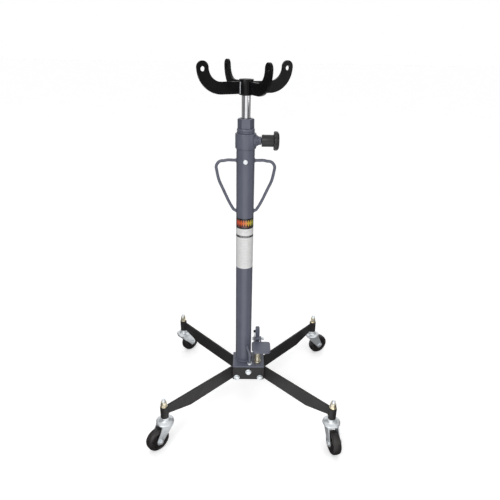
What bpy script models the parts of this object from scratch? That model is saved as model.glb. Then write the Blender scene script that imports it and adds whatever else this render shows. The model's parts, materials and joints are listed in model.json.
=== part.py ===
"""Telescopic floor jack: a hydraulic ram in a tall column on a four-legged caster base, with a
four-armed swivelling saddle, a ram lock knob, a foot pump pedal and a release lever.

Metres, +Z up, +X to the operator's right, -Y towards the operator. The origin is on the floor,
under the centre of the footprint's box.
"""

import math

import bmesh
import bpy
from mathutils import Matrix, Vector

# Gap between pieces that touch on the real jack, and how far a cutter runs past a surface.
GAP = 0.0003
PAST = 0.004

# Base: its centre, and the column's and the pump's axes from that centre.
BASE = Vector((-0.004475, 0.005129, 0.0))
COLUMN = BASE + Vector((-0.0185, 0.0100, 0.0))
PUMP = COLUMN + Vector((0.0500, -0.0270, 0.0))
HUB_WIDTH = 0.110
HUB_DEPTH = 0.082
HUB_BOTTOM = 0.090
HUB_TOP = 0.141
BAR = 0.006
PLATE_TOP = 0.149
CORE_WIDTH = 0.100
CORE_BOTTOM = 0.094

# Casters: half spacings of the swivel axes, wheel, trail and the direction each one trails in.
STEM_X = 0.2635
STEM_Y = 0.2425
WHEEL_RADIUS = 0.0375
WHEEL_WIDTH = 0.026
WHEEL_BORE = 0.0047
TRAIL = 0.032
CASTERS = {
    "front_left": (-1, -1, 223.0),
    "front_right": (1, -1, 283.0),
    "rear_right": (1, 1, 26.0),
    "rear_left": (-1, 1, 50.0),
}
FORK_WALL = 0.0028
FORK_INSIDE = 0.030
CROWN_BOTTOM = 0.0825
CROWN_TOP = 0.0855
FORK_TIP_RADIUS = 0.0115

# Legs: bars on edge, each with a bent foot behind the crossbar and a sleeve at its far end.
SLEEVE_RADIUS = 0.0125
SLEEVE_BORE = 0.0070
SLEEVE_BOTTOM = 0.109
SLEEVE_TOP = 0.1515
LEG_END_TOP = 0.1485
LEG_END_BOTTOM = 0.116
LEG_KINK = 0.67
LEG_FOOT_INNER = 0.028
LEG_BEND = 0.058

# Column, ram and the pieces stacked at the column's head.
TUBE_RADIUS = 0.0274
TUBE_BORE = 0.0236
LINER_RADIUS = 0.0200
LINER_BORE = 0.0171
COLLAR_BOTTOM = 0.9024
COLLAR_TOP = 0.9459
COLLAR_RADIUS = 0.0310
RING_TOP = 0.9593
NUT_TOP = 0.9873
NUT_ACROSS_CORNERS = 0.0487
RAM_RADIUS = 0.0130
RAM_CLEARANCE = 0.0003
RAM_TOP = 1.0505
LOCK_HEIGHT = 0.924
LOCK_BORE = 0.0054

# Saddle: hub and four plate arms that curve up to a round eye.
SADDLE_TOP = 1.0930
SADDLE_RADIUS = 0.0207
SADDLE_ANGLE = 26.0
ARM_THICKNESS = 0.0070
ARM_BEND_X = 0.0757
ARM_BEND_Z = 1.1240
ARM_OUTER = 0.0700
ARM_INNER = 0.0370
ARM_HOLE = 0.0065
ARM_HOLE_Z = 1.1200
SCREW_RECESS = 0.0118
SCREW_SEAT = SADDLE_TOP - 0.0042

# Handles on the column: rod loops in the plane through its axis that faces the operator.
HANDLE_ROD = 0.0045
HANDLE_TOP = 0.866
HANDLE_REACH = 0.0875
HANDLE_BOTTOM = 0.7085

# Pump: pedal, its pivot behind the plunger, and the release lever beside it.
PEDAL_PIVOT = Vector((0.0, 0.0480, 0.2120))
PEDAL_TOP = 0.2080
PLUNGER_RADIUS = 0.0050
SPRING_RADIUS = 0.0090
SPRING_WIRE = 0.0014
SPRING_TURNS = 8
SPRING_BOTTOM = 0.1585
SPRING_TOP = 0.1965
RELEASE = COLUMN + Vector((0.0225, -0.0400, 0.0))
RELEASE_TOP = 0.2000

COARSE = 12
FINE = 24
SMOOTH_ANGLE = math.radians(35)


def clear_scene():
    for obj in list(bpy.data.objects):
        bpy.data.objects.remove(obj)


def material(name, colour, roughness, metallic=0.0):
    made = bpy.data.materials.new(name)
    made.use_nodes = True
    shader = made.node_tree.nodes["Principled BSDF"]
    shader.inputs["Base Color"].default_value = (*colour, 1.0)
    shader.inputs["Roughness"].default_value = roughness
    shader.inputs["Metallic"].default_value = metallic
    return made


def make_materials():
    return {
        "grey_paint": material("grey_paint", (0.16, 0.165, 0.20), 0.40),
        "black_paint": material("black_paint", (0.018, 0.017, 0.018), 0.42),
        "black_gloss": material("black_gloss", (0.010, 0.010, 0.012), 0.25),
        "chrome": material("chrome", (0.80, 0.80, 0.82), 0.08, 1.0),
        "zinc": material("zinc", (0.72, 0.76, 0.78), 0.28, 1.0),
        "yellow_zinc": material("yellow_zinc", (0.74, 0.66, 0.47), 0.35, 1.0),
        "steel": material("steel", (0.50, 0.51, 0.52), 0.35, 1.0),
        "bronze": material("bronze", (0.60, 0.42, 0.20), 0.35, 1.0),
        "black_plastic": material("black_plastic", (0.012, 0.012, 0.013), 0.38),
        "tyre": material("tyre", (0.016, 0.015, 0.015), 0.50),
    }


def add_object(name, mesh_builder, finish=None, location=(0, 0, 0), turn=0.0, parent=None):
    """An object from a bmesh, with its faces turned out and its round sides shaded smooth."""
    bmesh.ops.recalc_face_normals(mesh_builder, faces=mesh_builder.faces)
    mesh = bpy.data.meshes.new(name)
    mesh_builder.to_mesh(mesh)
    mesh_builder.free()
    mesh.shade_smooth()
    mesh.set_sharp_from_angle(angle=SMOOTH_ANGLE)
    obj = bpy.data.objects.new(name, mesh)
    obj.location = location
    obj.rotation_euler = (0.0, 0.0, turn)
    obj.parent = parent
    if finish:
        mesh.materials.append(finish)
    bpy.context.scene.collection.objects.link(obj)
    return obj


def helper(name, mesh_builder, location=(0, 0, 0), turn=0.0, parent=None):
    obj = add_object(name, mesh_builder, None, location, turn, parent)
    obj.hide_render = True
    obj.display_type = "WIRE"
    return obj


def combine(target, other, operation):
    modifier = target.modifiers.new(operation.lower(), "BOOLEAN")
    modifier.operation = operation
    modifier.solver = "EXACT"
    modifier.object = other


def box(low, high):
    """A bmesh box between two corners."""
    low = Vector(low)
    high = Vector(high)
    shape = bmesh.new()
    size = high - low
    place = Matrix.Translation((low + high) / 2) @ Matrix.Diagonal((*size, 1.0))
    bmesh.ops.create_cube(shape, size=1.0, matrix=place)
    return shape


def turned(profile, segments=FINE, along=None):
    """A turned solid from (radius, height) points. With no point on the axis it is a ring."""
    shape = bmesh.new()
    rings = []
    for radius, height in profile:
        count = segments if radius > 0 else 1
        angles = [2 * math.pi * step / segments for step in range(count)]
        rings.append([shape.verts.new((radius * math.cos(a), radius * math.sin(a), height)) for a in angles])
    is_ring = all(radius > 0 for radius, _ in profile)
    following = rings[1:] + rings[:1] if is_ring else rings[1:]
    for lower, upper in zip(rings, following):
        for step in range(segments):
            after = (step + 1) % segments
            corners = [lower[step % len(lower)], lower[after % len(lower)]]
            corners += [upper[after % len(upper)], upper[step % len(upper)]]
            shape.faces.new(dict.fromkeys(corners))
    if along is not None:
        spin = Vector((0, 0, 1)).rotation_difference(Vector(along)).to_matrix()
        bmesh.ops.rotate(shape, verts=shape.verts, cent=(0, 0, 0), matrix=spin)
    return shape


def rod(radius, bottom, top, segments=COARSE, along=None):
    return turned([(0, bottom), (radius, bottom), (radius, top), (0, top)], segments, along)


def tube(radius, bore, bottom, top, segments=FINE):
    return turned([(radius, bottom), (radius, top), (bore, top), (bore, bottom)], segments)


def arc(centre, radius, start, end, steps):
    """Points of an arc, angles in degrees."""
    angles = [math.radians(start + (end - start) * step / steps) for step in range(steps + 1)]
    return [(centre[0] + radius * math.cos(a), centre[1] + radius * math.sin(a)) for a in angles]


def slab(outline, low, high, plane="XY"):
    """An outline extruded between two levels. XZ outlines run along Y, YZ outlines along X."""
    places = {
        "XY": lambda a, b, level: (a, b, level),
        "XZ": lambda a, b, level: (a, level, b),
        "YZ": lambda a, b, level: (level, a, b),
    }
    place = places[plane]
    shape = bmesh.new()
    lower = [shape.verts.new(place(a, b, low)) for a, b in outline]
    upper = [shape.verts.new(place(a, b, high)) for a, b in outline]
    shape.faces.new(lower)
    shape.faces.new(upper[::-1])
    for step in range(len(outline)):
        after = (step + 1) % len(outline)
        shape.faces.new((lower[step], lower[after], upper[after], upper[step]))
    return shape


def hexagon(across_corners):
    return arc((0, 0), across_corners / 2, 0, 300, 5)


# --- base -----------------------------------------------------------------------------------

BOLT_PLACES = {"left": (-0.041, 0.0995), "centre": (0.0, 0.1235), "right": (0.041, 0.0995)}
BOLT_RADIUS = 0.0050
BOLT_HOLE = 0.0053
BOLT_HEAD_CORNERS = 0.0185
BOLT_HEAD_HEIGHT = 0.0065
BOLT_FLANGE = 0.0100
BOLT_FLANGE_HEIGHT = 0.0018
BOLT_LENGTH = 0.032
BOLT_HOLE_DEPTH = 0.026
CORE_DEPTH = HUB_DEPTH - 4 * (BAR + GAP)


def make_base_block(finish):
    """The cast block: a top plate over a core that the crossbars and leg feet are bolted to."""
    half = HUB_WIDTH / 2
    plate = box((-half, -HUB_DEPTH / 2, HUB_TOP + GAP), (half, HUB_DEPTH / 2, PLATE_TOP))
    bmesh.ops.bevel(plate, geom=plate.edges[:], offset=0.0015, segments=2, affect="EDGES")
    block = add_object("base_block", plate, finish["grey_paint"], BASE)
    core_low = (-CORE_WIDTH / 2, -CORE_DEPTH / 2, CORE_BOTTOM)
    core_high = (CORE_WIDTH / 2, CORE_DEPTH / 2, PLATE_TOP - GAP)
    combine(block, helper("base_core", box(core_low, core_high), BASE), "UNION")
    for side in (-1, 1):
        for place, (x, z) in BOLT_PLACES.items():
            hole = rod(BOLT_HOLE, CORE_DEPTH / 2 - BOLT_HOLE_DEPTH, HUB_DEPTH, COARSE, (0, side, 0))
            cutter = helper(f"base_bolt_hole_{place}_{side}", hole, BASE + Vector((x, 0, z)))
            combine(block, cutter, "DIFFERENCE")
    pump_hole = helper("base_pump_hole", rod(PUMP_SPIGOT + GAP, PUMP_FLOOR, PLATE_TOP + PAST), PUMP)
    combine(block, pump_hole, "DIFFERENCE")
    valve_hole = rod(RELEASE_STEM + GAP, RELEASE_FLOOR, PLATE_TOP + PAST)
    combine(block, helper("base_valve_hole", valve_hole, RELEASE), "DIFFERENCE")


def bolt_hole_cutters(target, name, side, sides=("left", "centre", "right")):
    for place in sides:
        x, z = BOLT_PLACES[place]
        through = rod(BOLT_HOLE, HUB_DEPTH / 2 - 3 * BAR, HUB_DEPTH / 2 + PAST, COARSE, (0, side, 0))
        cutter = helper(f"{name}_hole_{place}", through, BASE + Vector((x, 0, z)))
        combine(target, cutter, "DIFFERENCE")


def make_crossbar(name, side, finish):
    outer = side * HUB_DEPTH / 2
    inner = side * (HUB_DEPTH / 2 - BAR)
    low = (-HUB_WIDTH / 2, min(outer, inner), HUB_BOTTOM)
    high = (HUB_WIDTH / 2, max(outer, inner), HUB_TOP)
    shape = box(low, high)
    bmesh.ops.bevel(shape, geom=shape.edges[:], offset=0.0008, segments=1, affect="EDGES")
    bar = add_object(name, shape, finish["black_paint"], BASE)
    bolt_hole_cutters(bar, name, side)


def make_hub_bolt(name, side, place, finish):
    """A flanged hex bolt. Its origin is under the flange, on the crossbar's outer face."""
    x, z = BOLT_PLACES[place]
    at = BASE + Vector((x, side * (HUB_DEPTH / 2 + GAP), z))
    shank = [(0, -BOLT_LENGTH), (BOLT_RADIUS, -BOLT_LENGTH), (BOLT_RADIUS, 0)]
    flange = [(BOLT_FLANGE, 0), (BOLT_FLANGE * 0.92, BOLT_FLANGE_HEIGHT), (0, BOLT_FLANGE_HEIGHT)]
    bolt = add_object(name, turned(shank + flange, COARSE, (0, side, 0)), finish["zinc"], at)
    head = slab(hexagon(BOLT_HEAD_CORNERS), BOLT_FLANGE_HEIGHT / 2, BOLT_HEAD_HEIGHT)
    spin = Vector((0, 0, 1)).rotation_difference(Vector((0, side, 0))).to_matrix()
    bmesh.ops.rotate(head, verts=head.verts, cent=(0, 0, 0), matrix=spin)
    combine(bolt, helper(f"{name}_head", head, at), "UNION")


def leg_outline():
    """Side view of a leg bar: distance along the bar from the bend, and height."""
    reach = Vector((STEM_X - LEG_BEND, STEM_Y - leg_foot_y())).length
    kink = reach * LEG_KINK
    return reach, [
        (0.0, HUB_BOTTOM),
        (kink, HUB_BOTTOM + 0.002),
        (reach, LEG_END_BOTTOM),
        (reach, LEG_END_TOP),
        (0.0, HUB_TOP),
    ]


def leg_foot_y():
    return HUB_DEPTH / 2 - BAR - GAP - BAR / 2


def make_leg(corner, side_x, side_y, finish):
    """A bar on edge with a bent foot, and the sleeve that holds the caster's stem."""
    foot_y = leg_foot_y()
    bend = Vector((LEG_BEND, foot_y))
    stem = Vector((STEM_X, STEM_Y))
    heading = (stem - bend).normalized()
    reach, outline = leg_outline()
    bar = slab(outline, -BAR / 2, BAR / 2, "XZ")
    for vertex in bar.verts:
        if vertex.co.x < BAR:
            # The bar's near end is mitred to meet the foot at the bend.
            vertex.co.x += vertex.co.y * math.tan(math.atan2(heading.y, heading.x) / 2)
    frame = Matrix(((heading.x, -heading.y, 0), (heading.y, heading.x, 0), (0, 0, 1)))
    bmesh.ops.rotate(bar, verts=bar.verts, cent=(0, 0, 0), matrix=frame)
    bmesh.ops.translate(bar, verts=bar.verts, vec=(bend.x, bend.y, 0))
    near = [v for v in bar.verts if v.co.x < LEG_BEND + BAR]
    near_faces = [f for f in bar.faces if all(v in near for v in f.verts)]
    grown = bmesh.ops.extrude_face_region(bar, geom=near_faces)
    bmesh.ops.delete(bar, geom=near_faces, context="FACES")
    for vertex in [item for item in grown["geom"] if isinstance(item, bmesh.types.BMVert)]:
        vertex.co.x = LEG_FOOT_INNER
    bmesh.ops.scale(bar, vec=(side_x, side_y, 1), verts=bar.verts)
    leg = add_object(f"leg_{corner}", bar, finish["black_paint"], BASE)
    stem_at = BASE + Vector((side_x * STEM_X, side_y * STEM_Y, 0))
    sleeve = helper(f"leg_{corner}_sleeve", rod(SLEEVE_RADIUS, SLEEVE_BOTTOM, SLEEVE_TOP, 16), stem_at)
    combine(leg, sleeve, "UNION")
    bore = rod(SLEEVE_BORE, SLEEVE_BOTTOM - PAST, SLEEVE_TOP + PAST)
    combine(leg, helper(f"leg_{corner}_bore", bore, stem_at), "DIFFERENCE")
    bolt_hole_cutters(leg, f"leg_{corner}", side_y, ("left",) if side_x < 0 else ("right",))


# --- casters --------------------------------------------------------------------------------

STEM_RADIUS = 0.0060
SHOULDER_RADIUS = 0.0125
SHOULDER_BOTTOM = 0.1000
RACE_RADIUS = 0.0283
RACE_BOTTOM = 0.0895
STEM_END = 0.1790
KINGPIN_RADIUS = 0.0070
KINGPIN_HEAD = 0.0110
KINGPIN_BOTTOM = 0.0785
NUT_CORNERS = 0.0205
NUT_HEIGHT = 0.0125
FORK_BACK = -0.0200
FORK_FRONT = 0.0215
AXLE_RADIUS = 0.0042


def make_caster_stem(name, at, finish):
    """Threaded stem, shoulder and upper race with the kingpin, fixed in the leg's sleeve."""
    profile = [
        (0, KINGPIN_BOTTOM),
        (KINGPIN_HEAD, KINGPIN_BOTTOM + 0.0008),
        (KINGPIN_HEAD, CROWN_BOTTOM - GAP),
        (KINGPIN_RADIUS, CROWN_BOTTOM - GAP),
        (KINGPIN_RADIUS, RACE_BOTTOM),
        (RACE_RADIUS - 0.0030, RACE_BOTTOM),
        (RACE_RADIUS, RACE_BOTTOM + 0.0012),
        (RACE_RADIUS, RACE_BOTTOM + 0.0032),
        (RACE_RADIUS - 0.0060, RACE_BOTTOM + 0.0065),
        (SHOULDER_RADIUS + 0.0030, SHOULDER_BOTTOM - 0.0015),
        (SHOULDER_RADIUS, SHOULDER_BOTTOM),
        (SHOULDER_RADIUS, SLEEVE_BOTTOM - GAP),
        (STEM_RADIUS, SLEEVE_BOTTOM - GAP),
        (STEM_RADIUS, STEM_END - 0.0015),
        (STEM_RADIUS - 0.0015, STEM_END),
        (0, STEM_END),
    ]
    return add_object(name, turned(profile, 16), finish["zinc"], at)


def make_stem_nut(name, at, finish):
    bottom = SLEEVE_TOP + GAP
    nut = add_object(
        name, slab(hexagon(NUT_CORNERS), bottom, bottom + NUT_HEIGHT), finish["yellow_zinc"], at
    )
    bore = rod(STEM_RADIUS + GAP, bottom - PAST, bottom + NUT_HEIGHT + PAST)
    combine(nut, helper(f"{name}_bore", bore, at), "DIFFERENCE")


def fork_outline():
    """Side view of a fork cheek: trail distance and height, tapering to a round tip."""
    tip = arc((TRAIL, WHEEL_RADIUS), FORK_TIP_RADIUS, 200, 375, 10)
    return [(FORK_BACK, CROWN_TOP)] + tip + [(FORK_FRONT, CROWN_TOP)]


def make_fork(name, at, turn, finish):
    """Crown plate with a lower race and two cheeks. The origin is on the swivel axis."""
    half = FORK_INSIDE / 2 + FORK_WALL
    crown = box((FORK_BACK, -half, CROWN_BOTTOM), (FORK_FRONT, half, CROWN_TOP))
    fork = add_object(name, crown, finish["zinc"], at, turn)
    for side in (-1, 1):
        inner = side * FORK_INSIDE / 2
        outer = side * half
        cheek = slab(fork_outline(), min(inner, outer), max(inner, outer), "XZ")
        combine(fork, helper(f"{name}_cheek_{side}", cheek, at, turn), "UNION")
    race_profile = [(RACE_RADIUS - 0.005, CROWN_BOTTOM + 0.001), (RACE_RADIUS - 0.0035, RACE_BOTTOM - GAP)]
    race_profile = [(0, CROWN_BOTTOM + 0.001)] + race_profile + [(0, RACE_BOTTOM - GAP)]
    combine(fork, helper(f"{name}_race", turned(race_profile, 16), at, turn), "UNION")
    hole = rod(KINGPIN_RADIUS + GAP, CROWN_BOTTOM - PAST, RACE_BOTTOM + PAST)
    combine(fork, helper(f"{name}_kingpin_hole", hole, at, turn), "DIFFERENCE")
    axle_at = Matrix.Rotation(turn, 3, "Z") @ Vector((TRAIL, 0, 0)) + at
    bore = rod(AXLE_RADIUS + GAP, -half - PAST, half + PAST, COARSE, (0, 1, 0))
    axle_at.z = WHEEL_RADIUS
    combine(fork, helper(f"{name}_axle_hole", bore, axle_at, turn), "DIFFERENCE")
    return axle_at


def make_axle(name, at, turn, finish):
    """Axle bolt through both cheeks, with a low head on one side and a nut on the other."""
    half = FORK_INSIDE / 2 + FORK_WALL + GAP
    profile = [
        (0, -half - 0.0035),
        (0.0075, -half - 0.0035),
        (0.0075, -half),
        (AXLE_RADIUS, -half),
        (AXLE_RADIUS, half),
        (0.0075, half),
        (0.0075, half + 0.0050),
        (AXLE_RADIUS, half + 0.0050),
        (AXLE_RADIUS, half + 0.0075),
        (0, half + 0.0075),
    ]
    add_object(name, turned(profile, COARSE, (0, 1, 0)), finish["zinc"], at, turn)


def make_wheel(name, at, turn, finish):
    """Solid wheel with rounded shoulders, a recessed web on each side and a hub. Its origin is its axis."""
    half = WHEEL_WIDTH / 2
    web = half - 0.0050
    hub = 0.0095
    rim = WHEEL_RADIUS - 0.0110
    right_side = [(WHEEL_BORE, half), (hub, half), (hub + 0.0010, web), (rim, web), (rim + 0.0010, half - 0.0010)]
    shoulder = [
        (WHEEL_RADIUS - 0.0040, half - 0.0004),
        (WHEEL_RADIUS - 0.0015, half - 0.0030),
        (WHEEL_RADIUS - 0.0003, half - 0.0070),
        (WHEEL_RADIUS, 0.0),
    ]
    outside = right_side + shoulder
    mirrored = [(radius, -height) for radius, height in reversed(outside[:-1])]
    add_object(name, turned(outside + mirrored, 20, (0, 1, 0)), finish["tyre"], at, turn)


def make_casters(finish):
    for corner, (side_x, side_y, direction) in CASTERS.items():
        at = BASE + Vector((side_x * STEM_X, side_y * STEM_Y, 0))
        turn = math.radians(direction)
        make_leg(corner, side_x, side_y, finish)
        make_caster_stem(f"caster_stem_{corner}", at, finish)
        make_stem_nut(f"stem_nut_{corner}", at, finish)
        axle_at = make_fork(f"caster_fork_{corner}", at, turn, finish)
        make_axle(f"caster_axle_{corner}", axle_at, turn, finish)
        make_wheel(f"caster_wheel_{corner}", axle_at, turn, finish)


# --- column ---------------------------------------------------------------------------------

SPIGOT_BOTTOM = 0.8860
LINER_TOP = 0.9050
WEB_BOTTOM = 0.9080
WEB_TOP = 0.9320
BUSH_RADIUS = 0.0185
BOSS_BASE = 0.0195
BOSS_NECK = 0.0120
BOSS_CONE_END = 0.0380
BOSS_END = 0.0452


def make_column(finish):
    """Outer tube, inner cylinder, head collar with its lock boss, gland ring, nut and guide bush."""
    shell = tube(TUBE_RADIUS, TUBE_BORE, PLATE_TOP + GAP, COLLAR_BOTTOM - GAP)
    add_object("column_tube", shell, finish["grey_paint"], COLUMN)
    liner = tube(LINER_RADIUS, LINER_BORE, PLATE_TOP + GAP, LINER_TOP, 24)
    add_object("cylinder_liner", liner, finish["steel"], COLUMN)
    make_collar(finish)
    ring = [
        (0.0262, COLLAR_TOP + GAP),
        (0.0262, RING_TOP - 0.0015),
        (0.0250, RING_TOP),
        (BUSH_RADIUS + GAP, RING_TOP),
        (BUSH_RADIUS + GAP, COLLAR_TOP + GAP),
    ]
    add_object("gland_ring", turned(ring), finish["grey_paint"], COLUMN)
    bush = tube(BUSH_RADIUS, RAM_RADIUS + RAM_CLEARANCE, WEB_TOP + GAP, RING_TOP - 0.0010, 24)
    add_object("guide_bush", bush, finish["bronze"], COLUMN)
    make_gland_nut(finish)


def make_collar(finish):
    bore = RAM_RADIUS + 0.0008
    profile = [
        (TUBE_BORE - GAP, SPIGOT_BOTTOM),
        (TUBE_BORE - GAP, COLLAR_BOTTOM),
        (COLLAR_RADIUS, COLLAR_BOTTOM),
        (COLLAR_RADIUS, COLLAR_TOP - 0.0015),
        (COLLAR_RADIUS - 0.0015, COLLAR_TOP),
        (BUSH_RADIUS + GAP, COLLAR_TOP),
        (BUSH_RADIUS + GAP, WEB_TOP),
        (bore, WEB_TOP),
        (bore, WEB_BOTTOM),
        (LINER_RADIUS + GAP, WEB_BOTTOM),
        (LINER_RADIUS + GAP, SPIGOT_BOTTOM),
    ]
    collar = add_object("tube_collar", turned(profile), finish["grey_paint"], COLUMN)
    boss_at = COLUMN + Vector((0, 0, LOCK_HEIGHT))
    inside = COLLAR_RADIUS - 0.0070
    boss = [(0, inside), (BOSS_BASE, inside), (BOSS_BASE, COLLAR_RADIUS - 0.0030)]
    boss += [(BOSS_NECK, BOSS_CONE_END), (BOSS_NECK, BOSS_END), (0, BOSS_END)]
    combine(collar, helper("collar_boss", turned(boss, 16, (1, 0, 0)), boss_at), "UNION")
    hole = rod(LOCK_BORE, 0.0050, BOSS_END + PAST, COARSE, (1, 0, 0))
    combine(collar, helper("collar_lock_hole", hole, boss_at), "DIFFERENCE")


def make_gland_nut(finish):
    """Hex nut whose top is turned to a chamfer."""
    bottom = RING_TOP + GAP
    nut = add_object(
        "gland_nut", slab(hexagon(NUT_ACROSS_CORNERS), bottom, NUT_TOP), finish["grey_paint"], COLUMN
    )
    radius = NUT_ACROSS_CORNERS / 2
    chamfer = [
        (0, bottom - PAST),
        (radius + 0.001, bottom - PAST),
        (radius + 0.001, NUT_TOP - 0.0045),
        (radius - 0.0035, NUT_TOP + 0.0001),
        (0, NUT_TOP + 0.0001),
    ]
    combine(nut, helper("gland_nut_chamfer", turned(chamfer), COLUMN), "INTERSECT")
    bore = rod(RAM_RADIUS + RAM_CLEARANCE, bottom - PAST, NUT_TOP + PAST, 24)
    combine(nut, helper("gland_nut_bore", bore, COLUMN), "DIFFERENCE")


def handle_points():
    """Centre line of the right handle: distance from the column's axis, and height."""
    start = TUBE_RADIUS + GAP
    corner = arc((HANDLE_REACH - 0.020, HANDLE_TOP - 0.022), 0.020, 95, -14, 7)
    sweep = [(0.0800, 0.806), (0.0680, 0.778), (0.0510, 0.740)]
    end = [(0.0390, HANDLE_BOTTOM + 0.0100), (0.0340, HANDLE_BOTTOM), (start, HANDLE_BOTTOM)]
    return [(start, HANDLE_TOP), (start + 0.010, HANDLE_TOP)] + corner + sweep + end


def make_handle(name, side, finish):
    curve = bpy.data.curves.new(name, "CURVE")
    curve.dimensions = "3D"
    curve.bevel_depth = HANDLE_ROD
    curve.bevel_resolution = 2
    curve.use_fill_caps = True
    points = handle_points()
    spline = curve.splines.new("POLY")
    spline.points.add(len(points) - 1)
    for point, (x, z) in zip(spline.points, points):
        point.co = (side * x, 0, z, 1)
    curve.materials.append(finish["grey_paint"])
    obj = bpy.data.objects.new(name, curve)
    obj.location = COLUMN
    bpy.context.scene.collection.objects.link(obj)


def make_filler_plug(finish):
    """Low screw plug on the column's front, with a hex socket."""
    at = COLUMN + Vector((0, -TUBE_RADIUS - GAP, 0.8665))
    profile = [(0, 0), (0.0070, 0), (0.0070, 0.0022), (0.0060, 0.0032), (0, 0.0032)]
    plug = add_object("filler_plug", turned(profile, COARSE, (0, -1, 0)), finish["zinc"], at)
    socket = slab(hexagon(0.0058), 0.0012, PAST)
    spin = Vector((0, 0, 1)).rotation_difference(Vector((0, -1, 0))).to_matrix()
    bmesh.ops.rotate(socket, verts=socket.verts, cent=(0, 0, 0), matrix=spin)
    combine(plug, helper("filler_plug_socket", socket, at), "DIFFERENCE")


# --- ram, saddle and lock ---------------------------------------------------------------------

RAM_SPIGOT = 0.0100
SPIGOT_TOP = 1.0800
PISTON_TOP = 0.1780
PISTON_BOTTOM = 0.1580
PISTON_CORE = 0.0080


def make_ram(finish):
    rod_profile = [
        (0, PISTON_BOTTOM),
        (PISTON_CORE, PISTON_BOTTOM),
        (PISTON_CORE, PISTON_TOP + GAP),
        (RAM_RADIUS, PISTON_TOP + GAP),
        (RAM_RADIUS, RAM_TOP - 0.0008),
        (RAM_RADIUS - 0.0008, RAM_TOP),
        (RAM_SPIGOT, RAM_TOP),
        (RAM_SPIGOT, SPIGOT_TOP),
        (0, SPIGOT_TOP),
    ]
    add_object("ram_rod", turned(rod_profile, 24), finish["chrome"], COLUMN)
    ring = tube(LINER_BORE - 0.0004, PISTON_CORE + GAP, PISTON_BOTTOM, PISTON_TOP, 24)
    add_object("ram_piston", ring, finish["bronze"], COLUMN)


def arm_outline():
    """Side view of a saddle arm: radius and height, a straight bar that curves up to a round eye."""
    centre = (ARM_BEND_X, ARM_BEND_Z)
    eye_radius = (ARM_OUTER - ARM_INNER) / 2
    eye = arc((ARM_BEND_X + (ARM_OUTER + ARM_INNER) / 2, ARM_BEND_Z), eye_radius, 0, 180, 10)
    outer = arc(centre, ARM_OUTER, 270, 360, 12)
    inner = arc(centre, ARM_INNER, 360, 270, 10)
    start = SADDLE_RADIUS + GAP
    return [(start, ARM_BEND_Z - ARM_OUTER)] + outer + eye[1:] + inner[1:] + [(start, ARM_BEND_Z - ARM_INNER)]


def make_saddle(finish):
    """Hub that swivels on the ram's spigot, a retaining screw and four arms."""
    hub = [
        (RAM_SPIGOT + 0.0003, RAM_TOP + GAP),
        (SADDLE_RADIUS - 0.0010, RAM_TOP + GAP),
        (SADDLE_RADIUS, RAM_TOP + 0.0013),
        (SADDLE_RADIUS, SADDLE_TOP - 0.0010),
        (SADDLE_RADIUS - 0.0010, SADDLE_TOP),
        (SCREW_RECESS, SADDLE_TOP),
        (SCREW_RECESS, SCREW_SEAT),
        (0.0065, SCREW_SEAT),
        (0.0065, SPIGOT_TOP + 0.0030),
        (RAM_SPIGOT + 0.0003, SPIGOT_TOP + 0.0030),
    ]
    add_object("saddle_hub", turned(hub), finish["black_gloss"], COLUMN)
    screw = [
        (0, SPIGOT_TOP + GAP),
        (0.0060, SPIGOT_TOP + GAP),
        (0.0060, SCREW_SEAT + GAP),
        (0.0110, SCREW_SEAT + GAP),
        (0.0110, SADDLE_TOP - 0.0012),
        (0.0104, SADDLE_TOP - 0.0006),
        (0, SADDLE_TOP - 0.0006),
    ]
    add_object("saddle_screw", turned(screw, COARSE), finish["black_gloss"], COLUMN)
    names = ["saddle_arm_left", "saddle_arm_front", "saddle_arm_right", "saddle_arm_rear"]
    for step, name in enumerate(names):
        turn = math.radians(180 + SADDLE_ANGLE + 90 * step)
        shape = slab(arm_outline(), -ARM_THICKNESS / 2, ARM_THICKNESS / 2, "XZ")
        arm = add_object(name, shape, finish["black_gloss"], COLUMN, turn)
        hole = rod(ARM_HOLE, -ARM_THICKNESS, ARM_THICKNESS, COARSE, (0, 1, 0))
        eye_x = ARM_BEND_X + (ARM_OUTER + ARM_INNER) / 2
        at = Matrix.Rotation(turn, 3, "Z") @ Vector((eye_x, 0, 0)) + COLUMN
        at.z = ARM_HOLE_Z
        combine(arm, helper(f"{name}_hole", hole, at, turn), "DIFFERENCE")


PAD_RADIUS = 0.0045
PAD_INNER = RAM_RADIUS + 0.0005
PAD_OUTER = 0.0190
SCREW_RADIUS = 0.0050
KNOB_INNER = 0.0457
BARREL_RADIUS = 0.0175
BARREL_END = 0.0815
KNOB_OUTER = 0.1015
KNOB_TIP = 0.0285
KNOB_LOBES = 7


def knob_head():
    """Star outline: round lobes with shallow valleys between them."""
    points = []
    steps = KNOB_LOBES * 6
    for step in range(steps):
        angle = 2 * math.pi * step / steps
        depth = 0.0016 * (1 - abs(math.cos(KNOB_LOBES * angle / 2)) ** 0.7) * 2
        radius = KNOB_TIP - depth
        points.append((radius * math.cos(angle), radius * math.sin(angle)))
    return points


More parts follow.
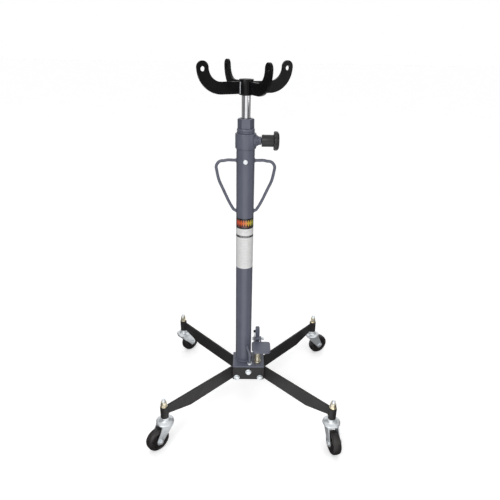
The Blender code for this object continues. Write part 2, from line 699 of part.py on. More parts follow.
def make_lock(finish):
    """Brass pad that grips the ram, and the star knob with its screw moulded in."""
    at = COLUMN + Vector((0, 0, LOCK_HEIGHT))
    pad = rod(PAD_RADIUS, PAD_INNER, PAD_OUTER, COARSE, (1, 0, 0))
    add_object("lock_pad", pad, finish["bronze"], at)
    profile = [
        (0, PAD_OUTER + GAP),
        (SCREW_RADIUS, PAD_OUTER + GAP),
        (SCREW_RADIUS, KNOB_INNER),
        (BARREL_RADIUS - 0.0010, KNOB_INNER),
        (BARREL_RADIUS, KNOB_INNER + 0.0010),
        (BARREL_RADIUS, BARREL_END + 0.0010),
        (0, BARREL_END + 0.0010),
    ]
    knob = add_object("lock_knob", turned(profile, 20, (1, 0, 0)), finish["black_plastic"], at)
    head = slab(knob_head(), BARREL_END, KNOB_OUTER - 0.0040)
    grown = [f for f in head.faces if all(v.co.z > BARREL_END + 0.001 for v in f.verts)]
    bmesh.ops.inset_region(head, faces=grown, thickness=0.0035, depth=0.0040)
    spin = Vector((0, 0, 1)).rotation_difference(Vector((1, 0, 0))).to_matrix()
    bmesh.ops.rotate(head, verts=head.verts, cent=(0, 0, 0), matrix=spin)
    combine(knob, helper("lock_knob_head", head, at), "UNION")


# --- pump -----------------------------------------------------------------------------------

PUMP_SPIGOT = 0.0085
PUMP_FLOOR = 0.1100
PUMP_FLANGE = 0.0120
PUMP_BARREL_TOP = 0.1575
PLUNGER_BOTTOM = 0.1400
PLUNGER_CAP_RADIUS = 0.0110
PLUNGER_CAP_TOP = 0.2000
PLUNGER_DOME = 0.0045
PLUNGER_TOP = 0.2032
BRACKET_HALF = 0.0085
BRACKET_FRONT = 0.0490
BRACKET_BACK = 0.0570
BRACKET_TOP = 0.2620
PIN_RADIUS = 0.0040
PIN_HALF = 0.0185
RELEASE_STEM = 0.0045
RELEASE_FLOOR = 0.1435


def make_pump(finish):
    """Barrel in the block, spring-returned plunger and the bracket that carries the pedal."""
    barrel = [
        (PUMP_SPIGOT, PUMP_FLOOR + 0.002),
        (PUMP_SPIGOT, PLATE_TOP + GAP),
        (PUMP_FLANGE, PLATE_TOP + GAP),
        (PUMP_FLANGE, PUMP_BARREL_TOP - 0.001),
        (PUMP_FLANGE - 0.001, PUMP_BARREL_TOP),
        (PLUNGER_RADIUS + GAP, PUMP_BARREL_TOP),
        (PLUNGER_RADIUS + GAP, PUMP_FLOOR + 0.002),
    ]
    add_object("pump_barrel", turned(barrel, 24), finish["yellow_zinc"], PUMP)
    plunger = [
        (0, PLUNGER_BOTTOM),
        (PLUNGER_RADIUS, PLUNGER_BOTTOM),
        (PLUNGER_RADIUS, SPRING_TOP + SPRING_WIRE + GAP),
        (PLUNGER_CAP_RADIUS, SPRING_TOP + SPRING_WIRE + GAP),
        (PLUNGER_CAP_RADIUS, PLUNGER_CAP_TOP),
        (PLUNGER_DOME, PLUNGER_CAP_TOP),
        (PLUNGER_DOME, PLUNGER_TOP - 0.001),
        (PLUNGER_DOME - 0.001, PLUNGER_TOP),
        (0, PLUNGER_TOP),
    ]
    add_object("pump_plunger", turned(plunger, COARSE), finish["zinc"], PUMP)
    make_spring(finish)
    make_bracket(finish)


def make_spring(finish):
    curve = bpy.data.curves.new("pump_spring", "CURVE")
    curve.dimensions = "3D"
    curve.bevel_depth = SPRING_WIRE
    curve.bevel_resolution = 1
    curve.use_fill_caps = True
    steps = SPRING_TURNS * 8
    bottom = SPRING_BOTTOM + SPRING_WIRE
    rise = SPRING_TOP - bottom
    spline = curve.splines.new("POLY")
    spline.points.add(steps)
    for step, point in enumerate(spline.points):
        angle = 2 * math.pi * SPRING_TURNS * step / steps
        height = bottom + rise * step / steps
        point.co = (SPRING_RADIUS * math.cos(angle), SPRING_RADIUS * math.sin(angle), height, 1)
    curve.materials.append(finish["yellow_zinc"])
    obj = bpy.data.objects.new("pump_spring", curve)
    obj.location = PUMP
    bpy.context.scene.collection.objects.link(obj)


def make_bracket(finish):
    """Upright strap behind the pump, with the hole for the pedal's pin."""
    middle = (BRACKET_FRONT + BRACKET_BACK) / 2
    outline = [(-BRACKET_HALF - 0.003, PLATE_TOP + GAP), (BRACKET_HALF + 0.003, PLATE_TOP + GAP)]
    outline += [(BRACKET_HALF, PLATE_TOP + 0.030), (BRACKET_HALF - 0.001, BRACKET_TOP - 0.004)]
    outline += [(BRACKET_HALF - 0.004, BRACKET_TOP), (-BRACKET_HALF + 0.004, BRACKET_TOP)]
    outline += [(-BRACKET_HALF + 0.001, BRACKET_TOP - 0.004), (-BRACKET_HALF, PLATE_TOP + 0.030)]
    strap = slab(outline, BRACKET_FRONT, BRACKET_BACK, "XZ")
    bracket = add_object("pump_bracket", strap, finish["grey_paint"], PUMP)
    boss = rod(0.0080, -BRACKET_HALF, BRACKET_HALF, COARSE, (1, 0, 0))
    at = PUMP + PEDAL_PIVOT
    at.y = PUMP.y + middle
    combine(bracket, helper("bracket_boss", boss, at), "UNION")
    hole = rod(PIN_RADIUS + 0.0001, -PIN_HALF, PIN_HALF, COARSE, (1, 0, 0))
    combine(bracket, helper("bracket_pin_hole", hole, at), "DIFFERENCE")
    head = 0.0060
    pin = [(0, -PIN_HALF), (head, -PIN_HALF), (head, -PIN_HALF + 0.003), (PIN_RADIUS, -PIN_HALF + 0.003)]
    pin += [(PIN_RADIUS, PIN_HALF), (0, PIN_HALF)]
    add_object("pedal_pin", turned(pin, COARSE, (1, 0, 0)), finish["steel"], at)


PEDAL_BACK = 0.0400
PEDAL_FRONT = -0.0190
PEDAL_LEFT = -0.0205
PEDAL_RIGHT = 0.0450
PEDAL_THICK = 0.0045
EAR_INNER = BRACKET_HALF + 0.0008
EAR_OUTER = EAR_INNER + 0.0045
EAR_RADIUS = 0.0085


def make_pedal(finish):
    """Foot plate with rounded edges and two ears that hang on the pin."""
    middle = (BRACKET_FRONT + BRACKET_BACK) / 2
    pivot = PUMP + PEDAL_PIVOT
    pivot.y = PUMP.y + middle
    corner = 0.010
    outline = arc((PEDAL_RIGHT - corner, PEDAL_BACK - corner), corner, 0, 90, 4)
    outline += arc((PEDAL_LEFT + corner, PEDAL_BACK - corner), corner, 90, 180, 4)
    outline += arc((PEDAL_LEFT + corner, PEDAL_FRONT + corner), corner, 180, 270, 4)
    outline += arc((PEDAL_RIGHT - corner, PEDAL_FRONT + corner), corner, 270, 360, 4)
    outline = [(x, y - middle) for x, y in outline]
    top = PEDAL_TOP - PEDAL_PIVOT.z
    plate = slab(outline, top - PEDAL_THICK, top)
    upper = [f for f in plate.faces if all(v.co.z > top - PEDAL_THICK / 2 for v in f.verts)]
    edges = [edge for edge in upper[0].edges]
    bmesh.ops.bevel(plate, geom=edges, offset=0.0018, segments=2, affect="EDGES")
    pedal = add_object("foot_pedal", plate, finish["grey_paint"], pivot)
    for side in (-1, 1):
        low = min(side * EAR_INNER, side * EAR_OUTER)
        high = max(side * EAR_INNER, side * EAR_OUTER)
        ear = [(-0.0220, top - PEDAL_THICK + 0.0008), (-0.0220, top - 0.0008)]
        ear = ear + arc((0, 0), EAR_RADIUS, 110, -70, 10)
        combine(pedal, helper(f"pedal_ear_{side}", slab(ear, low, high, "YZ"), pivot), "UNION")
    hole = rod(PIN_RADIUS + 0.0005, -PIN_HALF, PIN_HALF, COARSE, (1, 0, 0))
    combine(pedal, helper("pedal_pin_hole", hole, pivot), "DIFFERENCE")


def make_release_lever(finish):
    """Valve stem with a cranked lug for the toe. Its origin is on the valve's axis."""
    profile = [
        (0, RELEASE_FLOOR + GAP),
        (RELEASE_STEM, RELEASE_FLOOR + GAP),
        (RELEASE_STEM, RELEASE_TOP),
        (0, RELEASE_TOP),
    ]
    lever = add_object("release_lever", turned(profile, COARSE), finish["grey_paint"], RELEASE)
    outline = [(0.0050, RELEASE_TOP - 0.010), (-0.0040, RELEASE_TOP - 0.010), (-0.0040, RELEASE_TOP)]
    outline += [(-0.0125, RELEASE_TOP + 0.033), (-0.0090, RELEASE_TOP + 0.034), (0.0050, RELEASE_TOP)]
    lug = slab(outline, -0.0110, 0.0030, "XZ")
    combine(lever, helper("release_lug", lug, RELEASE), "UNION")


def main():
    clear_scene()
    finish = make_materials()
    make_base_block(finish)
    for name, side in (("front", -1), ("rear", 1)):
        make_crossbar(f"crossbar_{name}", side, finish)
        for place in BOLT_PLACES:
            make_hub_bolt(f"hub_bolt_{name}_{place}", side, place, finish)
    make_casters(finish)
    make_column(finish)
    make_handle("handle_left", -1, finish)
    make_handle("handle_right", 1, finish)
    make_filler_plug(finish)
    make_ram(finish)
    make_saddle(finish)
    make_lock(finish)
    make_pump(finish)
    make_pedal(finish)
    make_release_lever(finish)


main()
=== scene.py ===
"""Looks of the telescopic floor jack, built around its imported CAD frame. Metres, +Z up."""

import json
import math

import bmesh
import bpy
from mathutils import Matrix, Vector


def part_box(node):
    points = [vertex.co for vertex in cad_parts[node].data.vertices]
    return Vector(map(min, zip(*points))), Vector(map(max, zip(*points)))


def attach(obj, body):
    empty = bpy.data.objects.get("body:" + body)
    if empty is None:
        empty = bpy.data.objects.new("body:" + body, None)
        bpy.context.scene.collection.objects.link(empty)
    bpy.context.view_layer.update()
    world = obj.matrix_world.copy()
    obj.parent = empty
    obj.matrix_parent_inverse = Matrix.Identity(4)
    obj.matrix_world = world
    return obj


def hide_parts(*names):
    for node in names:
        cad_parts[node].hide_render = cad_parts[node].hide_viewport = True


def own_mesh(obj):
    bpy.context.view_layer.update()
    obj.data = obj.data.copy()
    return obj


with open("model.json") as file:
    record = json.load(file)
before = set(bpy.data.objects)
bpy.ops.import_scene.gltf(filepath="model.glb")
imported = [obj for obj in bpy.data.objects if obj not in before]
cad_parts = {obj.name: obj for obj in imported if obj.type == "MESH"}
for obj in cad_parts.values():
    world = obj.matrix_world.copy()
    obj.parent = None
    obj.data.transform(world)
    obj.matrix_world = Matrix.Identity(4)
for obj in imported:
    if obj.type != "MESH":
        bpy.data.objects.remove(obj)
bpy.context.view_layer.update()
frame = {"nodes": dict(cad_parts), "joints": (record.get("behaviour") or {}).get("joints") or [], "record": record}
JOINTS = {joint["name"]: joint for joint in frame["joints"]}
CORNERS = ("front_left", "front_right", "rear_right", "rear_left")
TAU = 2 * math.pi


# --- places read from the frame ---------------------------------------------------------------


def middle(node):
    low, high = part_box(node)
    return (low + high) / 2


def bottom(node):
    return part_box(node)[0].z


def top(node):
    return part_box(node)[1].z


def half_width(node):
    low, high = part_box(node)
    return (high.x - low.x) / 2


def joint_place(name):
    return Vector(JOINTS[name]["pos_m"])


COLUMN = Vector((*middle("column_tube").xy, 0.0))
PUMP = Vector((*middle("pump_barrel").xy, 0.0))
HUB = Vector((*middle("crossbar_front").xy, 0.0))
HUB.y = middle("base_block").y
UP = Vector((0, 0, 1))
FRONT = Vector((0, -1, 0))
BACK = Vector((0, 1, 0))
RIGHT = Vector((1, 0, 0))
TUBE_RADIUS = half_width("column_tube")
# How far a cutter reaches past what it cuts.
PAST = 0.01


# --- mesh helpers -----------------------------------------------------------------------------


def mesh_object(name, shape, sharp=35.0):
    """An object from a bmesh, its faces turned out and its round sides shaded smooth."""
    bmesh.ops.recalc_face_normals(shape, faces=shape.faces)
    mesh = bpy.data.meshes.new(name)
    shape.to_mesh(mesh)
    shape.free()
    mesh.shade_smooth()
    mesh.set_sharp_from_angle(angle=math.radians(sharp))
    obj = bpy.data.objects.new(name, mesh)
    bpy.context.scene.collection.objects.link(obj)
    return obj


def turn_to(shape, direction):
    """Turns a shape made along +Z so that it lies along a direction."""
    spin = UP.rotation_difference(Vector(direction)).to_matrix()
    bmesh.ops.rotate(shape, verts=shape.verts, cent=(0, 0, 0), matrix=spin)
    return shape


def shift(shape, by):
    bmesh.ops.translate(shape, verts=shape.verts, vec=by)
    return shape


def spin_z(shape, angle):
    matrix = Matrix.Rotation(angle, 3, "Z")
    bmesh.ops.rotate(shape, verts=shape.verts, cent=(0, 0, 0), matrix=matrix)
    return shape


def turned(profile, segments=96, scallop=None):
    """A turned solid from (radius, height) points. With no point on the axis it is a ring."""
    shape = bmesh.new()
    rings = []
    for radius, height in profile:
        ring = []
        for step in range(segments if radius > 0 else 1):
            angle = TAU * step / segments
            reach = radius + (scallop(angle, radius) if scallop and radius > 0 else 0.0)
            ring.append(shape.verts.new((reach * math.cos(angle), reach * math.sin(angle), height)))
        rings.append(ring)
    is_ring = all(radius > 0 for radius, _ in profile)
    following = rings[1:] + rings[:1] if is_ring else rings[1:]
    for lower, upper in zip(rings, following):
        for step in range(segments):
            after = (step + 1) % segments
            corners = [lower[step % len(lower)], lower[after % len(lower)]]
            corners += [upper[after % len(upper)], upper[step % len(upper)]]
            shape.faces.new(dict.fromkeys(corners))
    return shape


def rod(radius, low, high, segments=48):
    return turned([(0, low), (radius, low), (radius, high), (0, high)], segments)


def arc(centre, radius, start, end, steps):
    angles = [math.radians(start + (end - start) * step / steps) for step in range(steps + 1)]
    return [(centre[0] + radius * math.cos(a), centre[1] + radius * math.sin(a)) for a in angles]


def slab(outline, low, high, plane="XY"):
    """An outline extruded between two levels. XZ outlines run along Y, YZ outlines along X."""
    places = {
        "XY": lambda a, b, level: (a, b, level),
        "XZ": lambda a, b, level: (a, level, b),
        "YZ": lambda a, b, level: (level, a, b),
    }
    shape = bmesh.new()
    lower = [shape.verts.new(places[plane](a, b, low)) for a, b in outline]
    upper = [shape.verts.new(places[plane](a, b, high)) for a, b in outline]
    shape.faces.new(lower)
    shape.faces.new(upper[::-1])
    for step in range(len(outline)):
        after = (step + 1) % len(outline)
        shape.faces.new((lower[step], lower[after], upper[after], upper[step]))
    return shape


def smooth_path(points, per_span=8):
    """A Catmull-Rom curve through the points."""
    points = [Vector(point) for point in points]
    padded = [2 * points[0] - points[1]] + points + [2 * points[-1] - points[-2]]
    path = []
    for before, here, there, beyond in zip(padded, padded[1:], padded[2:], padded[3:]):
        for step in range(per_span):
            t = step / per_span
            path.append(
                0.5 * (2 * here + (there - before) * t
                       + (2 * before - 5 * here + 4 * there - beyond) * t * t
                       + (3 * here - before - 3 * there + beyond) * t ** 3)
            )
    return path + [points[-1]]


def swept(path, radius, sides=20, closed=False, ripple=None):
    """A round bar along a path. ripple(share of the length) scales its radius."""
    path = [Vector(point) for point in path]
    count = len(path)
    shape = bmesh.new()
    rings = []
    side = None
    for index, point in enumerate(path):
        after = path[(index + 1) % count] if closed or index < count - 1 else point
        before = path[index - 1] if closed or index > 0 else point
        along = (after - before).normalized()
        if side is None:
            side = along.orthogonal().normalized()
        side = (side - along * side.dot(along)).normalized()
        other = along.cross(side)
        reach = radius * (ripple(index / count) if ripple else 1.0)
        angles = [TAU * k / sides for k in range(sides)]
        spokes = [side * math.cos(angle) + other * math.sin(angle) for angle in angles]
        rings.append([shape.verts.new(point + reach * spoke) for spoke in spokes])
    pairs = list(zip(rings, rings[1:] + rings[:1] if closed else rings[1:]))
    for first, second in pairs:
        for k in range(sides):
            after = (k + 1) % sides
            shape.faces.new((first[k], first[after], second[after], second[k]))
    if not closed:
        shape.faces.new(rings[0])
        shape.faces.new(rings[-1][::-1])
    return shape


def helix(radius, low, high, turns, per_turn=24):
    steps = int(turns * per_turn)
    return [
        Vector((radius * math.cos(TAU * turns * s / steps), radius * math.sin(TAU * turns * s / steps),
                low + (high - low) * s / steps))
        for s in range(steps + 1)
    ]


def boolean(target, cutter, operation="DIFFERENCE"):
    """Cuts or joins at once, so that the piece keeps one plain mesh."""
    modifier = target.modifiers.new("cut", "BOOLEAN")
    modifier.operation = operation
    modifier.object = cutter
    evaluated = target.evaluated_get(bpy.context.evaluated_depsgraph_get())
    mesh = bpy.data.meshes.new_from_object(evaluated)
    target.modifiers.clear()
    target.data = mesh
    bpy.data.objects.remove(cutter)
    mesh.shade_smooth()
    mesh.set_sharp_from_angle(angle=math.radians(35))
    return target


def round_edges(obj, width, segments=3, angle=35.0):
    modifier = obj.modifiers.new("edges", "BEVEL")
    modifier.width = width
    modifier.segments = segments
    modifier.limit_method = "ANGLE"
    modifier.angle_limit = math.radians(angle)
    modifier.harden_normals = True
    return obj


def piece(obj, body, slot, *nodes):
    """Gives a finished piece its material and body, and hides the CAD nodes it stands for."""
    obj.data.materials.clear()
    obj.data.materials.append(FINISH[slot])
    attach(obj, body)
    if nodes:
        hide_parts(*nodes)
    return obj


def turned_piece(name, profile, at, body, slot, *nodes, segments=72, sharp=35.0):
    """A finished piece turned about the vertical through a place."""
    return piece(mesh_object(name, shift(turned(profile, segments), at), sharp), body, slot, *nodes)


def point_to(obj, direction, at):
    """Turns a piece made along +Z to a direction and moves its foot to a place."""
    obj.data.transform(UP.rotation_difference(Vector(direction)).to_matrix().to_4x4())
    obj.data.transform(Matrix.Translation(at))


def weld(name, path, radius, slot, body="base", closed=False, ripples=24):
    """A weld bead: a low bar with the overlapping scales of each pass."""
    def scales(share):
        return 1.0 + 0.16 * abs(math.sin(math.pi * ripples * share)) + 0.05 * math.sin(31.7 * share)
    bead = mesh_object(name, swept(path, radius, 10, closed, scales), 60)
    return piece(bead, body, slot)


def circle(centre, radius, count=96, normal=UP):
    side = Vector(normal).orthogonal().normalized()
    other = Vector(normal).cross(side)
    return [
        Vector(centre) + radius * (side * math.cos(TAU * k / count) + other * math.sin(TAU * k / count))
        for k in range(count)
    ]


def hex_outline(across_corners):
    return arc((0, 0), across_corners / 2, 0, 300, 5)


def hex_solid(across_corners, low, high):
    """A hex prism whose top corners are turned to a chamfer."""
    prism = mesh_object("hex", slab(hex_outline(across_corners), low, high))
    radius = across_corners / 2
    run = radius * 0.17
    cone = [(0, low - PAST), (radius * 1.02, low - PAST), (radius * 1.02, high - run * 0.6)]
    cone += [(radius - run, high + 0.00002), (0, high + 0.00002)]
    return boolean(prism, mesh_object("cone", turned(cone, 72)), "INTERSECT")


# --- materials --------------------------------------------------------------------------------

class Shader:
    """A Principled material with short ways to add noise, ramps and bumps."""

    def __init__(self, name):
        self.material = bpy.data.materials.new(name)
        self.material.use_nodes = True
        self.tree = self.material.node_tree
        self.main = self.tree.nodes["Principled BSDF"]
        self.place = self.add("ShaderNodeTexCoord").outputs["Object"]

    def add(self, kind, **values):
        node = self.tree.nodes.new(kind)
        for key, value in values.items():
            setattr(node, key, value)
        return node

    def link(self, source, target):
        self.tree.links.new(source, target)

    def stretched(self, scale):
        node = self.add("ShaderNodeMapping")
        node.inputs["Scale"].default_value = scale
        self.link(self.place, node.inputs["Vector"])
        return node.outputs["Vector"]

    def noise(self, scale, detail=4.0, rough=0.55, at=None):
        node = self.add("ShaderNodeTexNoise")
        node.inputs["Scale"].default_value = scale
        node.inputs["Detail"].default_value = detail
        node.inputs["Roughness"].default_value = rough
        self.link(at or self.place, node.inputs["Vector"])
        return node.outputs["Fac"]

    def cells(self, scale):
        node = self.add("ShaderNodeTexVoronoi")
        node.inputs["Scale"].default_value = scale
        self.link(self.place, node.inputs["Vector"])
        return node.outputs["Color"]

    def ramp(self, source, stops):
        """stops are (position, colour or grey) pairs."""
        node = self.add("ShaderNodeValToRGB")
        elements = node.color_ramp.elements
        while len(elements) < len(stops):
            elements.new(0.5)
        for element, (position, colour) in zip(elements, stops):
            element.position = position
            element.color = (*colour, 1) if hasattr(colour, "__len__") else (colour, colour, colour, 1)
        self.link(source, node.inputs["Fac"])
        return node.outputs["Color"]

    def mix(self, share, first, second, blend="MIX"):
        node = self.add("ShaderNodeMix", data_type="RGBA", blend_type=blend)
        for source, socket in ((share, node.inputs[0]), (first, node.inputs[6]), (second, node.inputs[7])):
            if hasattr(source, "is_output"):
                self.link(source, socket)
            elif hasattr(source, "__len__"):
                socket.default_value = (*source, 1)
            else:
                socket.default_value = source
        return node.outputs[2]

    def bump(self, height, strength, distance):
        node = self.add("ShaderNodeBump")
        node.inputs["Strength"].default_value = strength
        node.inputs["Distance"].default_value = distance
        self.link(height, node.inputs["Height"])
        if self.main.inputs["Normal"].is_linked:
            self.link(self.main.inputs["Normal"].links[0].from_socket, node.inputs["Normal"])
        self.link(node.outputs["Normal"], self.main.inputs["Normal"])

    def set(self, **values):
        for key, value in values.items():
            socket = self.main.inputs[key.replace("_", " ")]
            if hasattr(value, "is_output"):
                self.link(value, socket)
            elif hasattr(value, "__len__"):
                socket.default_value = (*value, 1)
            else:
                socket.default_value = value
        return self


def enamel(name, dark, light, roughness, coat=0.0, peel=0.06, streak=None, shine=0.5):
    """Sprayed paint: slow colour drift, fine mottle, orange peel and a little dust."""
    made = Shader(name)
    drift = made.ramp(made.noise(14, 3), [(0.30, dark), (0.70, light)])
    speck = made.ramp(made.noise(950, 2), [(0.35, 0.86), (0.65, 1.0)])
    colour = made.mix(0.5, drift, speck, "MULTIPLY")
    if streak:
        along = made.noise(1.0, 4, 0.6, made.stretched((260, 260, 3.0)))
        colour = made.mix(made.ramp(along, [(0.55, 0.0), (0.80, streak)]), colour, (0.30, 0.30, 0.32))
    low, high = roughness
    made.set(Base_Color=colour, Roughness=made.ramp(made.noise(60, 5), [(0.3, low), (0.7, high)]))
    made.main.inputs["Specular IOR Level"].default_value = shine
    made.main.inputs["Coat Weight"].default_value = coat
    made.main.inputs["Coat Roughness"].default_value = 0.18
    made.bump(made.noise(520, 2), peel, 0.0004)
    made.bump(made.noise(2600, 2), peel * 0.6, 0.0001)
    return made.material


def plated(name, tones, roughness, grain=320.0, metallic=1.0):
    """Zinc plate: crystal mottle in two or three tones, smudges and fine scratches."""
    made = Shader(name)
    spangle = made.ramp(made.cells(grain), [(0.0, tones[0]), (1.0, tones[1])])
    cloud = made.ramp(made.noise(90, 4), [(0.35, 0.0), (0.72, 0.75)])
    colour = made.mix(cloud, spangle, tones[-1])
    low, high = roughness
    smudge = made.ramp(made.noise(150, 5), [(0.3, low), (0.75, high)])
    made.set(Base_Color=colour, Roughness=smudge, Metallic=metallic)
    made.bump(made.noise(1.0, 2, 0.5, made.stretched((1500, 1500, 200))), 0.05, 0.0002)
    return made.material


def chrome(name):
    made = Shader(name)
    film = made.ramp(made.noise(30, 3), [(0.3, (0.70, 0.70, 0.73)), (0.7, (0.82, 0.82, 0.84))])
    lines = made.noise(1.0, 3, 0.6, made.stretched((40, 40, 2600)))
    made.set(Base_Color=film, Metallic=1.0, Roughness=made.ramp(lines, [(0.35, 0.05), (0.75, 0.13)]))
    made.bump(lines, 0.02, 0.0001)
    return made.material


def moulded(name, dark, light, roughness, grain):
    """Moulded plastic or rubber: fine grain and flow marks."""
    made = Shader(name)
    colour = made.ramp(made.noise(70, 5), [(0.32, dark), (0.75, light)])
    low, high = roughness
    made.set(Base_Color=colour, Roughness=made.ramp(made.noise(240, 4), [(0.3, low), (0.7, high)]))
    made.bump(made.noise(grain, 2), 0.12, 0.0002)
    return made.material


def turned_metal(name, tones, roughness):
    """Machined bronze or steel: fine turning lines and a stained film."""
    made = Shader(name)
    colour = made.ramp(made.noise(120, 5), [(0.3, tones[0]), (0.7, tones[1])])
    lines = made.noise(1.0, 2, 0.5, made.stretched((60, 60, 3200)))
    low, high = roughness
    made.set(Base_Color=colour, Metallic=1.0, Roughness=made.ramp(lines, [(0.3, low), (0.7, high)]))
    made.bump(lines, 0.06, 0.0001)
    return made.material


FINISH = {
    "grey_paint": enamel("grey_paint", (0.108, 0.116, 0.156), (0.127, 0.136, 0.182), (0.34, 0.46),
                         coat=0.15, streak=0.12),
    "black_paint": enamel("black_paint", (0.020, 0.018, 0.0185), (0.029, 0.0265, 0.0265), (0.40, 0.52),
                          coat=0.04, peel=0.08, shine=0.30),
    "black_gloss": enamel("black_gloss", (0.0030, 0.0030, 0.0038), (0.0062, 0.0060, 0.0070), (0.26, 0.36),
                          coat=0.04, peel=0.04, shine=0.18),
    "chrome": chrome("chrome"),
    "zinc": plated("zinc", ((0.74, 0.79, 0.83), (0.95, 0.97, 0.98), (0.84, 0.88, 0.91)), (0.30, 0.46),
                   metallic=0.72),
    "yellow_zinc": plated("yellow_zinc", ((0.66, 0.55, 0.34), (0.92, 0.88, 0.74), (0.80, 0.76, 0.64)),
                          (0.24, 0.42), 420.0),
    "steel": turned_metal("steel", ((0.42, 0.43, 0.45), (0.60, 0.61, 0.62)), (0.25, 0.40)),
    "bronze": turned_metal("bronze", ((0.50, 0.33, 0.14), (0.72, 0.52, 0.26)), (0.26, 0.40)),
    "black_plastic": moulded("black_plastic", (0.010, 0.010, 0.011), (0.022, 0.022, 0.024), (0.30, 0.42),
                             1400),
    "tyre": moulded("tyre", (0.014, 0.012, 0.012), (0.034, 0.030, 0.029), (0.36, 0.52), 900),
    # Painted highlight: bright plated metal that only the left saddle arm's weld beads take, standing in for the
    # glint of light on them.
    "weld_glint_highlight": plated("weld_glint_highlight", ((0.30, 0.30, 0.32), (0.75, 0.76, 0.78), (0.50, 0.51, 0.53)),
                         (0.25, 0.45), 700.0),
}


def dress_frame():
    """Every CAD node that stays takes the detailed material of its slot."""
    slots = {row["node"]: row["material_slot"] for row in frame["record"]["subparts"]}
    for name, node in frame["nodes"].items():
        node.data.materials.clear()
        node.data.materials.append(FINISH[slots[name]])


# --- column and head --------------------------------------------------------------------------


def build_column():
    low, high = bottom("column_tube"), top("column_tube")
    bore = TUBE_RADIUS - 0.0038
    profile = [(TUBE_RADIUS, low), (TUBE_RADIUS, high), (bore, high), (bore, low)]
    turned_piece("column_shell", profile, COLUMN, "base", "grey_paint", "column_tube", segments=128)
    foot = circle(COLUMN + UP * (low + 0.0012), TUBE_RADIUS + 0.0006, 160)
    weld("column_foot_weld", foot, 0.0026, "grey_paint", closed=True, ripples=48)


def build_collar():
    low, high = top("column_tube") + 0.0003, top("tube_collar")
    outer, bore = 0.0310, 0.0190
    edge = 0.0018
    profile = [(TUBE_RADIUS - 0.0040, low), (outer - 0.0008, low), (outer, low + 0.0010)]
    profile += [(outer, high - edge), (outer - edge * 0.3, high - edge * 0.3), (outer - edge, high)]
    seat, throat = high - 0.0140, TUBE_RADIUS - 0.0090
    profile += [(bore, high), (bore, seat), (throat, seat), (throat, low)]
    turned_piece("head_collar", profile, COLUMN, "base", "grey_paint", "tube_collar", segments=128)
    height = joint_place("lock_turn").z
    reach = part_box("tube_collar")[1].x - COLUMN.x
    boss = [(0, 0.0240), (0.0200, 0.0240), (0.0198, 0.0270), (0.0180, 0.0300), (0.0145, 0.0350)]
    boss += [(0.0126, 0.0380), (0.0120, 0.0400), (0.0120, reach - 0.0008)]
    boss += [(0.0112, reach), (0.0056, reach), (0.0056, reach - 0.0060), (0, reach - 0.0060)]
    boss = shift(turn_to(turned(boss, 64), RIGHT), COLUMN + UP * height)
    piece(mesh_object("lock_boss", boss), "base", "grey_paint")


def build_gland():
    low, high = bottom("gland_ring"), top("gland_ring")
    outer = half_width("gland_ring")
    groove = low + 0.0045
    profile = [(outer - 0.0006, low), (outer, low + 0.0006), (outer, groove)]
    profile += [(outer - 0.0008, groove + 0.0006), (outer - 0.0008, groove + 0.0012)]
    profile += [(outer, groove + 0.0018), (outer, high - 0.0022), (outer - 0.0007, high - 0.0007)]
    profile += [(outer - 0.0022, high), (0.0190, high), (0.0190, low)]
    turned_piece("gland_ring_turned", profile, COLUMN, "base", "grey_paint", "gland_ring", segments=128)
    low, high = bottom("gland_nut"), top("gland_nut")
    nut = hex_solid(2 * half_width("gland_nut"), low, high)
    boolean(nut, mesh_object("bore", rod(0.0146, low - PAST, high + PAST, 72)))
    nut.name = "gland_nut_turned"
    nut.data.transform(Matrix.Translation(COLUMN))
    piece(round_edges(nut, 0.0006, 2), "base", "grey_paint", "gland_nut")
    foot = high - 0.0060
    lip = [(0.0134, foot), (0.0143, foot), (0.0143, high + 0.0004), (0.0136, high + 0.0012)]
    turned_piece("ram_wiper", lip, COLUMN, "base", "black_plastic")


def handle_route(side):
    """Centre line of a loop handle, worked out from its CAD box."""
    low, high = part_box("handle_right")
    rod_radius = 0.0045
    reach = high.x - COLUMN.x - rod_radius
    rise = high.z - rod_radius
    fall = low.z + rod_radius
    start = TUBE_RADIUS - 0.0010
    corner = arc((reach - 0.020, rise - 0.022), 0.020, 95, -14, 7)
    flat = [(start, rise), (start + 0.012, rise), (reach - 0.036, rise + 0.0004)]
    slant = [(reach - 0.0075, rise - 0.060), (reach - 0.0195, rise - 0.088), (reach - 0.0365, rise - 0.126)]
    end = [(0.0400, fall + 0.0110), (0.0335, fall + 0.0020), (start, fall)]
    return [COLUMN + Vector((side * x, 0, z)) for x, z in flat + corner + slant + end]


def build_handles():
    for name, side in (("left", -1), ("right", 1)):
        route = handle_route(side)
        bar = mesh_object(f"loop_handle_{name}", swept(smooth_path(route, 6), 0.0045, 24), 50)
        piece(bar, "base", "grey_paint", f"handle_{name}")
        for where, point in (("upper", route[0]), ("lower", route[-1])):
            at = Vector((COLUMN.x + side * (TUBE_RADIUS + 0.0004), point.y, point.z))
            ring = circle(at, 0.0047, 40, RIGHT)
            weld(f"handle_weld_{name}_{where}", ring, 0.0015, "grey_paint", closed=True, ripples=11)


def build_plug():
    at = middle("filler_plug")
    at.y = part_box("filler_plug")[1].y
    profile = [(0, 0), (0.0070, 0), (0.0070, 0.0020), (0.0066, 0.0027), (0.0058, 0.0031), (0, 0.0031)]
    plug = mesh_object("filler_plug_turned", turned(profile, 64))
    boolean(plug, mesh_object("socket", slab(hex_outline(0.0062), 0.0010, 0.0100)))
    point_to(plug, FRONT, at)
    piece(plug, "base", "zinc", "filler_plug")


LABEL_LIFT = 0.00025
BAND_TOP, BAND_BOTTOM = 0.690, 0.656
SHEET_BOTTOM = 0.519
BAND_HALF_ANGLE, SHEET_HALF_ANGLE = 88.0, 84.0


